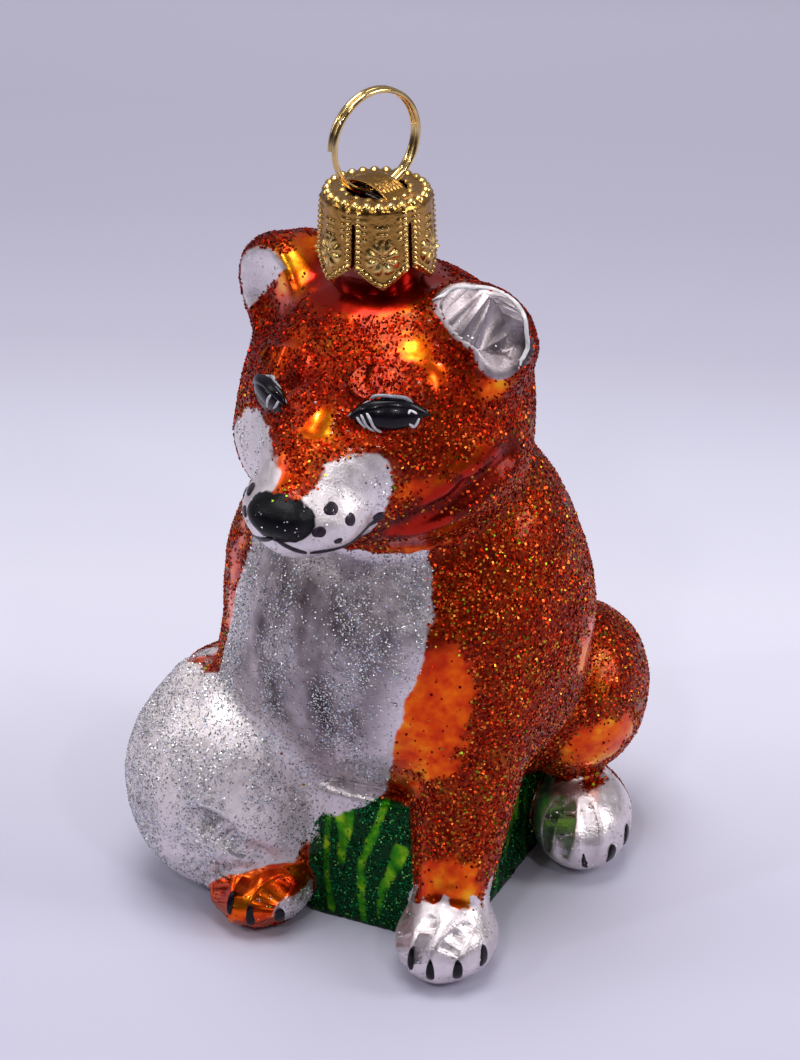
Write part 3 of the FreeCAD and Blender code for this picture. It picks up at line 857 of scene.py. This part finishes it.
def face_outwards(piece):
    """Turns the faces of a piece so that they look out of it."""
    bpy.ops.object.select_all(action="DESELECT")
    bpy.context.view_layer.objects.active = piece
    piece.select_set(True)
    bpy.ops.object.mode_set(mode="EDIT")
    bpy.ops.mesh.select_all(action="SELECT")
    bpy.ops.mesh.normals_make_consistent(inside=False)
    bpy.ops.object.mode_set(mode="OBJECT")


def enamel(name, shapes, finish):
    """One piece from several drops and lines of the same enamel."""
    points, faces, base = [], [], 0
    for spots, sides in shapes:
        points.append(spots)
        faces += [tuple(base + i for i in side) for side in sides]
        base += len(spots)
    piece = put_mesh(name, np.concatenate(points), faces, "fox")
    face_outwards(piece)
    piece.data.materials.append(finish)


def enamel_finish(name, dark, light, roughness):
    """Glossy enamel, uneven between two shades."""
    made, face, s = material(name, roughness=roughness, coat=0.1, specular=0.18)
    uneven = s.noise(s.object_place(), 1300, 3)
    s.put(face.inputs["Base Color"], s.ramp(uneven, [(0.35, dark), (0.7, light)]))
    s.put(face.inputs["Normal"], s.bump(s.noise(s.object_place(), 2600, 2), 0.00003, 0.5))
    return made


black_enamel = enamel_finish("black_enamel", linear(6, 4, 8), linear(22, 16, 26), 0.24)
plum_enamel = enamel_finish("plum_enamel", linear(30, 20, 32), linear(54, 40, 54), 0.38)
white_enamel_and_painted_highlight = enamel_finish("white_enamel_and_painted_highlight", linear(190, 188, 192), linear(232, 228, 230), 0.3)
grey_enamel_and_painted_shadow = enamel_finish("grey_enamel_and_painted_shadow", linear(118, 116, 124), linear(165, 164, 172), 0.3)

# Round an eye, in millimetres along it from its middle and above that
EYE_BALL = [
    (-3.7, -0.2), (-2.6, 1.0), (-0.4, 1.7), (1.8, 1.4), (3.7, -0.2), (2.4, -1.2), (0.3, -1.7), (-2.0, -1.4),
]
EYE_LID = [(-3.7, -0.2), (-2.5, 0.95), (-0.4, 1.6), (1.8, 1.35), (3.8, -0.2)]
EYE_RIM = [(-3.9, 0.1), (-2.6, 1.5), (-0.4, 2.2), (1.9, 1.95), (4.0, 0.2)]
# White marks on an eye: three brush strokes of white enamel low on its inner side, then two arcs of a small
# white ring that is a painted highlight
EYE_WHITE_MARKS = [
    ((-3.1, 0.2), (-2.7, -0.4), (-2.2, -0.9)), ((-2.5, 0.3), (-2.0, -0.3), (-1.5, -1.2)),
    ((-1.9, 0.4), (-1.4, -0.2), (-0.8, -0.9)),
    ((1.5, 0.1), (1.9, 0.5), (2.3, 0.1)), ((1.5, -0.3), (1.9, -0.6), (2.4, -0.2)),
]
# Middle of each eye, the way that it runs, and the side of the head
EYES = (((6.54, -15.14, 61.0), (0.786, 0.618, -0.02), 1), ((-6.6, -15.8, 60.4), (0.83, -0.54, 0.13), -1))


def beside(eye, run, side, pairs):
    """Places on the head round an eye, from places along it and above it."""
    eye, along, above = np.array(eye), np.array(run) * side, np.array((0, -0.35, 0.93))
    return [tuple(eye + along * forward + above * up) for forward, up in pairs]


def mirrored(outline):
    """The outline of the other eye."""
    return [(-x, y) for x, y in reversed(outline)]


eye_balls, lids, white_marks = [], [], []
for eye, run, side in EYES:
    eye_balls.append(dab(eye, run, EYE_BALL if side > 0 else mirrored(EYE_BALL), 0.16, 0.05))
    lids.append(stroke(beside(eye, run, side, EYE_LID), 0.62, 0.26, lift=0.06))
    for mark in EYE_WHITE_MARKS[::1 if side > 0 else 2]:
        white_marks.append(stroke(beside(eye, run, side, mark), 0.15, 0.05, lift=0.23))
enamel("eye_rims", [stroke(beside(*eye, EYE_RIM), 0.20, 0.10) for eye in EYES], grey_enamel_and_painted_shadow)
enamel("eyes", eye_balls + lids, black_enamel)
enamel("eye_strokes_and_painted_highlight", white_marks, white_enamel_and_painted_highlight)
spot_ring = [(math.cos(a), math.sin(a)) for a in np.linspace(0, 6.28, 11)[:-1]]
# Middle of each whisker dot, its half width and half height
DOTS = [
    ((4.5, -22.2, 53.8), 0.78, 0.66), ((4.1, -23.7, 51.9), 0.70, 0.55), ((6.0, -21.0, 52.5), 0.66, 0.66),
    ((6.6, -17.0, 51.1), 0.66, 0.5), ((5.4, -22.3, 50.6), 0.45, 0.32),
    ((-4.3, -22.4, 53.6), 0.7, 0.6), ((-4.2, -23.6, 51.8), 0.62, 0.52), ((-5.8, -21.0, 52.2), 0.62, 0.6),
    ((-6.3, -17.6, 51.4), 0.6, 0.5),
]
enamel("whisker_dots", [
    dab(spot, (0.4, 1, 0.1), [(wide * x, tall * y * (1.1 if x > 0 else 0.9)) for x, y in spot_ring], 0.10)
    for spot, wide, tall in DOTS
], plum_enamel)
enamel("mouth_line", [
    stroke([(0.3, -25.4, 50.8), (1.75, -24.7, 49.75), (2.8, -23.8, 49.2)], 0.34, 0.10),
    stroke([
        (3.0, -23.6, 49.3), (4.5, -22.5, 49.45), (5.5, -20.4, 49.4), (6.2, -18.2, 49.9), (6.6, -16.8, 50.4),
    ], 0.38, 0.10),
    stroke([(0.0, -25.4, 50.8), (-2.6, -23.9, 49.6), (-4.4, -22.0, 49.2), (-6.0, -17.6, 49.9)], 0.34, 0.10),
], plum_enamel)
enamel("ear_rim", [stroke([
    (6.6, -7.3, 69.7), (8.3, -6.3, 70.7), (10.4, -5.2, 71.2), (12.3, -4.0, 70.8), (13.9, -3.4, 69.7),
    (15.2, -4.4, 67.7), (15.3, -5.2, 65.7), (14.8, -5.6, 63.6),
], 0.30, 0.07)], white_enamel_and_painted_highlight)
# A painted highlight along the upper edge of the tail's dent and a painted shadow down its fold, both as
# raised strokes
TAIL_DENT_EDGE = [(-14.0, -20.2, 14.6), (-13.0, -19.9, 13.4), (-12.0, -19.5, 12.0), (-11.6, -19.3, 11.2)]
TAIL_DENT_FOLD = [(-12.4, -19.6, 12.2), (-11.6, -19.2, 10.9), (-10.2, -18.4, 9.7), (-8.2, -16.6, 8.9)]
enamel("tail_highlight", [stroke(TAIL_DENT_EDGE, 0.55, 0.12, turned_head=False)], white_enamel_and_painted_highlight)
enamel("tail_shadow", [stroke(TAIL_DENT_FOLD, 0.20, 0.04, turned_head=False)], grey_enamel_and_painted_shadow)
CLAW = [(-0.58, -0.2), (-0.46, 0.9), (0.0, 1.5), (0.46, 0.9), (0.58, -0.2), (0.42, -1.2), (-0.42, -1.2)]
# Middle of each claw, and how far its paw turns to the side there
CLAWS = [
    ((10.1, -21.3, 4.2), -0.4), ((12.4, -21.7, 3.5), 0.1), ((14.9, -20.3, 3.4), 0.7),
    ((16.6, -17.4, 4.0), 2.0), ((-10.4, -20.6, 4.4), 0.0), ((-8.0, -20.3, 3.2), 0.4),
    ((-5.6, -18.6, 2.6), 1.2), ((19.3, 3.1, 3.6), 0.5), ((21.0, 5.4, 3.7), 1.2), ((21.6, 8.2, 4.6), 2.5),
]
claws = [dab(spot, (1, lean, 0), CLAW, 0.16, turned_head=False) for spot, lean in CLAWS]
enamel("claws", claws, black_enamel)

# Glitter
# Small cut flakes of metallised film, strewn on wet glue: copper over the
# coat, silver on the belly, muzzle and tail, and emerald on the foliage.

corners = [tuple(side.vertices) for side in fox.data.polygons if len(side.vertices) == 4]
triangles = np.array([side[:3] for side in corners] + [(side[0], side[2], side[3]) for side in corners])
FLAKE_HALF = 0.012


def flakes(name, total, weight, size, finish, seed, tilt=0.33, lift=0.07):
    """Square flakes on the figure's skin, more where the weight is higher."""
    dice = np.random.default_rng(seed)
    corner = places[triangles]
    area = np.linalg.norm(np.cross(corner[:, 1] - corner[:, 0], corner[:, 2] - corner[:, 0]), axis=1)
    chance = area * weight[triangles].mean(1)
    chosen = dice.choice(len(triangles), total, p=chance / chance.sum())
    share = dice.dirichlet((1, 1, 1), total)
    centre = (corner[chosen] * share[:, :, None]).sum(1)
    out = (normals[triangles[chosen]] * share[:, :, None]).sum(1) + dice.normal(0, tilt, (total, 3))
    out /= np.linalg.norm(out, axis=1, keepdims=True)
    side = np.cross(out, dice.normal(size=(total, 3)))
    side /= np.linalg.norm(side, axis=1, keepdims=True)
    ahead = np.cross(out, side)
    radius = size * dice.uniform(0.7, 1.25, total)
    centre = centre + normals[triangles[chosen, 0]] * dice.uniform(0.3, 1.0, total)[:, None] * lift
    rings = []
    for level in (FLAKE_HALF, -FLAKE_HALF):
        for k in range(4):
            a = k * math.pi / 2
            rings.append(centre + (side * math.cos(a) + ahead * math.sin(a)) * radius[:, None] + out * level)
    points = np.stack(rings, 1).reshape(-1, 3)
    base = np.arange(total)[:, None] * 8
    sides = [(0, 1, 2, 3), (7, 6, 5, 4)] + [(k, 4 + k, 4 + (k + 1) % 4, (k + 1) % 4) for k in range(4)]
    faces = np.concatenate([base + side for side in sides])
    darker_crown = 1 - 0.42 * np.clip((centre[:, 2] - 57) / 6, 0, 1)
    tone = np.repeat(dice.uniform(0, 1, total) * darker_crown, 8)
    piece = put_mesh(name, points, faces, "fox", {"tone": tone}, smooth=False)
    piece.data.materials.append(finish)


def flake_finish(name, stops, roughness):
    """Metal film whose colour goes by each flake's own tone."""
    made, face, s = material(name, metallic=1.0, roughness=roughness)
    s.put(face.inputs["Base Color"], s.ramp(s.attribute("tone"), stops))
    worn = s.noise(s.object_place(), 3000)
    s.put(face.inputs["Roughness"], s.step(worn, 0.3, 0.7, roughness, roughness + 0.15))
    return made


copper = flake_finish("copper_flakes", [
    (0.0, linear(84, 8, 2)), (0.36, linear(156, 25, 7)), (0.70, linear(210, 58, 17)),
    (0.89, linear(250, 128, 56)), (0.955, linear(204, 158, 46)), (0.99, linear(110, 140, 30)),
], 0.26)
silvery = flake_finish("silver_flakes", [
    (0.0, linear(120, 117, 120)), (0.3, linear(196, 194, 194)), (0.7, linear(248, 248, 244)),
    (0.97, linear(200, 210, 236)),
], 0.34)
emerald = flake_finish("emerald_flakes", [
    (0.0, linear(2, 50, 24)), (0.5, linear(4, 92, 46)), (0.85, linear(20, 150, 84)),
    (0.97, linear(130, 200, 90)),
], 0.20)

# How thickly each kind of flake lies at each place of the skin
x, y, z = places.T
on_silver = np.clip(painted["silver"] * 2 + 0.3, 0, 1)
on_green = np.clip(painted["green"] * 3, 0, 1) * np.clip(0.5 - painted["leaf"] * 3, 0.01, 1)
off_floor = z > 0.6
NEVER_NONE = 1e-9

free = (1 - np.clip(painted["silver"] * 3 + 0.6, 0, 1)) * (1 - np.clip(painted["green"] * 3 + 1, 0, 1))
free *= np.clip(0.6 - painted["black"] * 3, 0, 1) * off_floor
sparse = np.clip(0.5 - painted["bare"] * 1.4, 0.03, 1)
patchy = np.clip(0.85 + 0.35 * ripple(places, 5.5, 31), 0.3, 1) * np.where(y > 6, 0.7, 1.0)
pooled = np.clip(1.25 - painted["pool_and_shade"] * 0.7, 0.15, 1)
copper_share = free * sparse * patchy * pooled + NEVER_NONE
COPPER_PIECES = 5
for number in range(COPPER_PIECES):
    flakes("copper_glitter_%d" % (number + 1), 15600, copper_share, 0.150, copper, 100 + number)

belly = np.clip(ripple(places, 7.0, 41) * 0.8 + 0.35 + np.abs(x + 3) * 0.035, 0.08, 1)
muzzle_dust = np.where((z > 47) & (y < -10), 0.35 * (ripple(places, 4.0, 43) > 0.1) + 0.02, 1.0)
clean_paws = np.where((x > 4) & (z < 12), 0.06, 1.0)
clean_ears = np.where(with_head(places)[:, 2] > 60, 0.02, 1.0)
silver_share = on_silver * belly * muzzle_dust * (clean_paws * clean_ears) * off_floor + NEVER_NONE
SILVER_PIECES = 2
for number in range(SILVER_PIECES):
    flakes("silver_glitter_%d" % (number + 1), 13000, silver_share, 0.095, silvery, 200 + number)

leaf_dust = np.clip(0.8 + 0.6 * ripple(places, 3.0, 51), 0.2, 1)
emerald_share = on_green * (1 - on_silver) * leaf_dust * off_floor + NEVER_NONE
flakes("emerald_glitter", 8200, emerald_share, 0.10, emerald, 300)

# Cap
# One stamped sheet of thin brass: a flat top with two rings of studs round an
# opening, a rounded shoulder, and a skirt slit into six pointed petals, each
# embossed with a flower, beads along its edges and small ovals.

CAP_TOP = 78.357
CAP_FOOT = 70.21
SLIT_TOP = CAP_TOP - 1.7
SLIT_HALF = 0.175
OPENING_RADIUS = 2.9
FLAT_RADIUS = 4.5
SHOULDER = 0.8
SKIRT_FLARE = 0.35
PETAL_POINT = 2.0
RELIEF_RADIUS = 5.45
SHEET = 0.24
PETALS = 6
COLUMNS = 44
FIRST_PETAL = math.radians(-59)
PETAL_STEP = 2 * math.pi / PETALS


def bump_at(distance, radius, height):
    """The rise of a round stud at a distance from its middle."""
    return height * np.clip(1 - (distance / radius) ** 2, 0, 1) ** 0.8


def skirt_relief(along, height):
    """Embossing of one petal: along is millimetres from its middle line, height is above its tip."""
    rise = np.zeros_like(along)
    flower = height - 3.1
    radius = np.hypot(along, flower)
    angle = np.arctan2(flower, along)
    leaf = np.abs(np.cos(4 * angle + math.pi / 2)) ** 0.8 * np.clip(1 - ((radius - 0.95) / 0.75) ** 2, 0, 1)
    rise += 0.17 * leaf + bump_at(radius, 0.28, 0.14)
    for step in range(16):
        for side in (-1, 1):
            rise += bump_at(np.hypot(along - side * 2.32, (height - 1.6 - step * 0.52) * 1.15), 0.27, 0.16)
            if step < 4:
                inner = np.hypot((along - side * 1.72) * 1.1, height - 4.9 - step * 0.62)
                rise += bump_at(inner, 0.22, 0.10)
    for step in range(6):
        for side in (-1, 1):
            middle = (side * (0.25 + step * 0.42), 0.42 + step * 0.36)
            rise += bump_at(np.hypot(along - middle[0], height - middle[1]), 0.24, 0.15)
    for step, wide in ((4.75, 0.55), (5.45, 0.38), (6.1, 0.5)):
        for side in (-1, 0, 1):
            rise += bump_at(np.hypot((along - side * wide) * 1.5, (height - step) * 0.9), 0.24, 0.11)
    return rise


def cap_point(angle, radius, z):
    """A place round the neck's axis."""
    return NECK + (radius * math.cos(angle), radius * math.sin(angle), z)


def skirt_radius(z):
    """The skirt flares a little from the shoulder down to the petals' points."""
    down = CAP_TOP - SHOULDER - z
    return FLAT_RADIUS + SHOULDER + SKIRT_FLARE * down / (CAP_TOP - SHOULDER - CAP_FOOT)


def stud_rise(angle, radius):
    """Two rings of studs on the flat top: 26 large ones outside, 16 lower ones round the opening."""
    studs, ring, size, height = (26, 4.72, 0.44, 0.30) if radius > 3.9 else (16, 3.25, 0.38, 0.19)
    beside = ((angle * studs / (2 * math.pi)) % 1.0 - 0.5) * 2 * math.pi * radius / studs
    return float(bump_at(np.array(math.hypot(beside * 0.95, (radius - ring) * 0.95)), size, height))


cap_points, cap_faces, cap_rises = [], [], []
ring_columns = PETALS * COLUMNS

# Rows of the top, the shoulder and the uncut part of the skirt: radius, height and the way out
collar = [(radius, CAP_TOP, (0.0, 1.0)) for radius in np.linspace(OPENING_RADIUS, FLAT_RADIUS, 13)]
for turn in np.radians(np.arange(10, 91, 10)):
    out = (math.sin(turn), math.cos(turn))
    collar.append((FLAT_RADIUS + SHOULDER * out[0], CAP_TOP - SHOULDER + SHOULDER * out[1], out))
for z in np.linspace(CAP_TOP - SHOULDER, SLIT_TOP, 8)[1:]:
    collar.append((skirt_radius(z), z, (1.0, 0.0)))
for row, (radius, z, out) in enumerate(collar):
    for column in range(ring_columns):
        angle = FIRST_PETAL + (column / COLUMNS - 0.5) * PETAL_STEP
        if z > CAP_TOP - 0.45:
            rise = stud_rise(angle, radius)
        else:
            share = ((angle - FIRST_PETAL + math.pi / PETALS) % PETAL_STEP) - math.pi / PETALS
            rise = float(skirt_relief(np.array([share * RELIEF_RADIUS]), np.array([z - CAP_FOOT]))[0]) * 1.25
        cap_points.append(cap_point(angle, radius + out[0] * rise, z + out[1] * rise))
        cap_rises.append(rise)
    if row:
        low, high = (row - 1) * ring_columns, row * ring_columns
        for column in range(ring_columns):
            after = (column + 1) % ring_columns
            cap_faces.append((low + column, high + column, high + after, low + after))

# Each petal hangs from the last of those rows, and its foot runs to a point
last_ring = (len(collar) - 1) * ring_columns
SKIRT_ROWS = 56
for petal in range(PETALS):
    middle = FIRST_PETAL + petal * PETAL_STEP
    previous = [last_ring + (petal * COLUMNS + column) % ring_columns for column in range(COLUMNS + 1)]
    for row in range(1, SKIRT_ROWS + 1):
        current = []
        for column in range(COLUMNS + 1):
            sideways = column / COLUMNS * 2 - 1
            foot = CAP_FOOT + PETAL_POINT * max(0.0, abs(sideways) - 0.08)
            z = SLIT_TOP + (foot - SLIT_TOP) * row / SKIRT_ROWS
            radius = skirt_radius(z)
            slit = min(1.0, row / 3) * SLIT_HALF / radius
            current.append((middle + sideways * (math.pi / PETALS - slit), radius, z))
        angles, _, heights = np.array(current).T
        fade = min(1.0, (SKIRT_ROWS - row) / 3 + 0.35)
        rises = skirt_relief((angles - middle) * RELIEF_RADIUS, heights - CAP_FOOT) * 1.5 * fade
        base = len(cap_points)
        for (angle, radius, z), rise in zip(current, rises):
            cap_points.append(cap_point(angle, radius + rise, z))
            cap_rises.append(rise)
        indices = [base + column for column in range(COLUMNS + 1)]
        for column in range(COLUMNS):
            cap_faces.append((previous[column], indices[column], indices[column + 1], previous[column + 1]))
        previous = indices
cap = put_mesh("cap_sheet", np.array(cap_points), cap_faces, "capping", {"rise": cap_rises})
face_outwards(cap)
thick = cap.modifiers.new("sheet", "SOLIDIFY")
thick.thickness = SHEET * MM
thick.offset = -1
bpy.ops.object.modifier_apply(modifier=thick.name)
cap_material, cap_surface, s = material("stamped_gold_brass", metallic=1.0, roughness=0.22)
place = s.object_place()
gold = s.ramp(s.noise(place, 700, 3, 0.6), [
    (0.25, linear(184, 140, 78)), (0.5, linear(226, 188, 112)), (0.75, linear(248, 222, 150)),
])
# Painted shade: the low sheet between the embossing is a darker gold than the raised studs, beads and
# flowers
gold = s.mix(s.step(s.attribute("rise"), 0.0, 0.16), linear(176, 130, 66), gold)
s.put(cap_surface.inputs["Base Color"], gold)
s.put(cap_surface.inputs["Roughness"], s.step(s.noise(place, 1500, 2), 0.3, 0.75, 0.16, 0.34))
s.put(cap_surface.inputs["Normal"], s.bump(s.noise(place, 1500, 3), 0.00014, 0.6))
cap.data.materials.append(cap_material)
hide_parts("cap")

# Bridge
# The strip left across the cap's opening and pressed up into an arch, with
# fine ribs across its length. It is one sheet with the cap.

RING_HEADING = math.radians(64.6)
BRIDGE_HALF = 3.4
BRIDGE_WIDTH = 2.8
BRIDGE_RISE = 0.95
BRIDGE_SHEET = 0.28
RIB_HEIGHT = 0.07
RIB_PITCH = 0.4
RIBS_HALF = 2.3
ROWS, ACROSS = 30, 45

across = np.array([math.cos(RING_HEADING), math.sin(RING_HEADING), 0])
ahead = np.array([math.sin(RING_HEADING), -math.cos(RING_HEADING), 0])
arch_radius = (BRIDGE_HALF ** 2 + BRIDGE_RISE ** 2) / (2 * BRIDGE_RISE)
tops, undersides = [], []
for row in range(ROWS + 1):
    b = (row / ROWS * 2 - 1) * BRIDGE_HALF
    z = CAP_TOP + BRIDGE_RISE - arch_radius + math.sqrt(arch_radius ** 2 - b * b)
    for column in range(ACROSS + 1):
        t = (column / ACROSS - 0.5) * BRIDGE_WIDTH
        fade = (abs(b) < RIBS_HALF) * (1 - (abs(t) * 2 / BRIDGE_WIDTH) ** 6)
        rib = RIB_HEIGHT * math.cos(t * 2 * math.pi / RIB_PITCH) * fade
        spot = NECK + across * t + ahead * b
        tops.append(spot + (0, 0, z + rib - 0.03))
        undersides.append(spot + (0, 0, z - BRIDGE_SHEET))
in_row = ACROSS + 1
half_count = (ROWS + 1) * in_row
bridge_faces = []
for row in range(ROWS):
    for a in range(row * in_row, row * in_row + ACROSS):
        corners = (a, a + in_row, a + in_row + 1, a + 1)
        bridge_faces += [corners, tuple(half_count + corner for corner in reversed(corners))]
edge = list(range(ACROSS))
edge += [row * in_row + ACROSS for row in range(ROWS)]
edge += [ROWS * in_row + column for column in reversed(range(1, in_row))]
edge += [row * in_row for row in reversed(range(1, ROWS + 1))]
for first, second in zip(edge, edge[1:] + edge[:1]):
    bridge_faces.append((first, second, half_count + second, half_count + first))
bridge = put_mesh("cap_bridge", np.array(tops + undersides), bridge_faces, "capping")
face_outwards(bridge)
bridge.data.materials.append(cap_material)

# Split ring
# Round brass wire coiled one and three quarter turns, with its cut ends at
# the side and at the bottom, threaded under the bridge.

WIRE = 0.29
COIL_RADIUS = 4.91
RING_CENTRE = 83.027
TURNS = 1.75
PITCH = 0.60
COIL_STEPS = 96
coil = bpy.data.curves.new("coil", "CURVE")
coil.dimensions = "3D"
coil.bevel_depth = WIRE * MM
coil.bevel_resolution = 6
coil.use_fill_caps = True
coil.resolution_u = 4
line = coil.splines.new("NURBS")
line.points.add(COIL_STEPS)
for step in range(COIL_STEPS + 1):
    turn = 2 * math.pi * TURNS * step / COIL_STEPS
    depth = PITCH * (TURNS * step / COIL_STEPS - (TURNS - 0.5))
    spot = NECK + (0, 0, RING_CENTRE) + ahead * depth
    spot = spot - across * COIL_RADIUS * math.cos(turn) + np.array([0, 0, COIL_RADIUS * math.sin(turn)])
    line.points[step].co = (*((spot + MIDDLE) * MM), 1.0)
line.order_u = 4
line.use_endpoint_u = True
coil_object = bpy.data.objects.new("coil", coil)
scene.collection.objects.link(coil_object)
ring = bpy.data.objects.new("split_ring", bpy.data.meshes.new_from_object(coil_object))
bpy.data.objects.remove(coil_object)
scene.collection.objects.link(ring)
ring.data.polygons.foreach_set("use_smooth", [True] * len(ring.data.polygons))
ring_material, ring_surface, s = material("brass_wire", metallic=1.0, roughness=0.14)
place = s.object_place()
s.put(ring_surface.inputs["Base Color"], s.ramp(s.noise(place, 420, 3), [
    (0.3, linear(186, 150, 92)), (0.7, linear(232, 206, 146)),
]))
s.put(ring_surface.inputs["Roughness"], s.step(s.noise(place, 1800), 0.3, 0.7, 0.10, 0.24))
ring.data.materials.clear()
ring.data.materials.append(ring_material)
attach(ring, "ring")
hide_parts("hanging_ring")

# Spring clip
# One bent steel wire that dips under the ring, with two legs that grip the
# inside of the neck and hold the cap on.

wire_material, wire_surface, s = material("spring_steel", metallic=1.0, roughness=0.3)
place = s.object_place()
s.put(wire_surface.inputs["Base Color"], s.ramp(s.noise(place, 600, 3), [
    (0.3, linear(120, 116, 112)), (0.7, linear(176, 172, 166)),
]))
s.put(wire_surface.inputs["Roughness"], s.step(s.noise(place, 2400), 0.3, 0.7, 0.22, 0.42))
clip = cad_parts["spring_clip"]
for slot in clip.material_slots:
    slot.material = wire_material
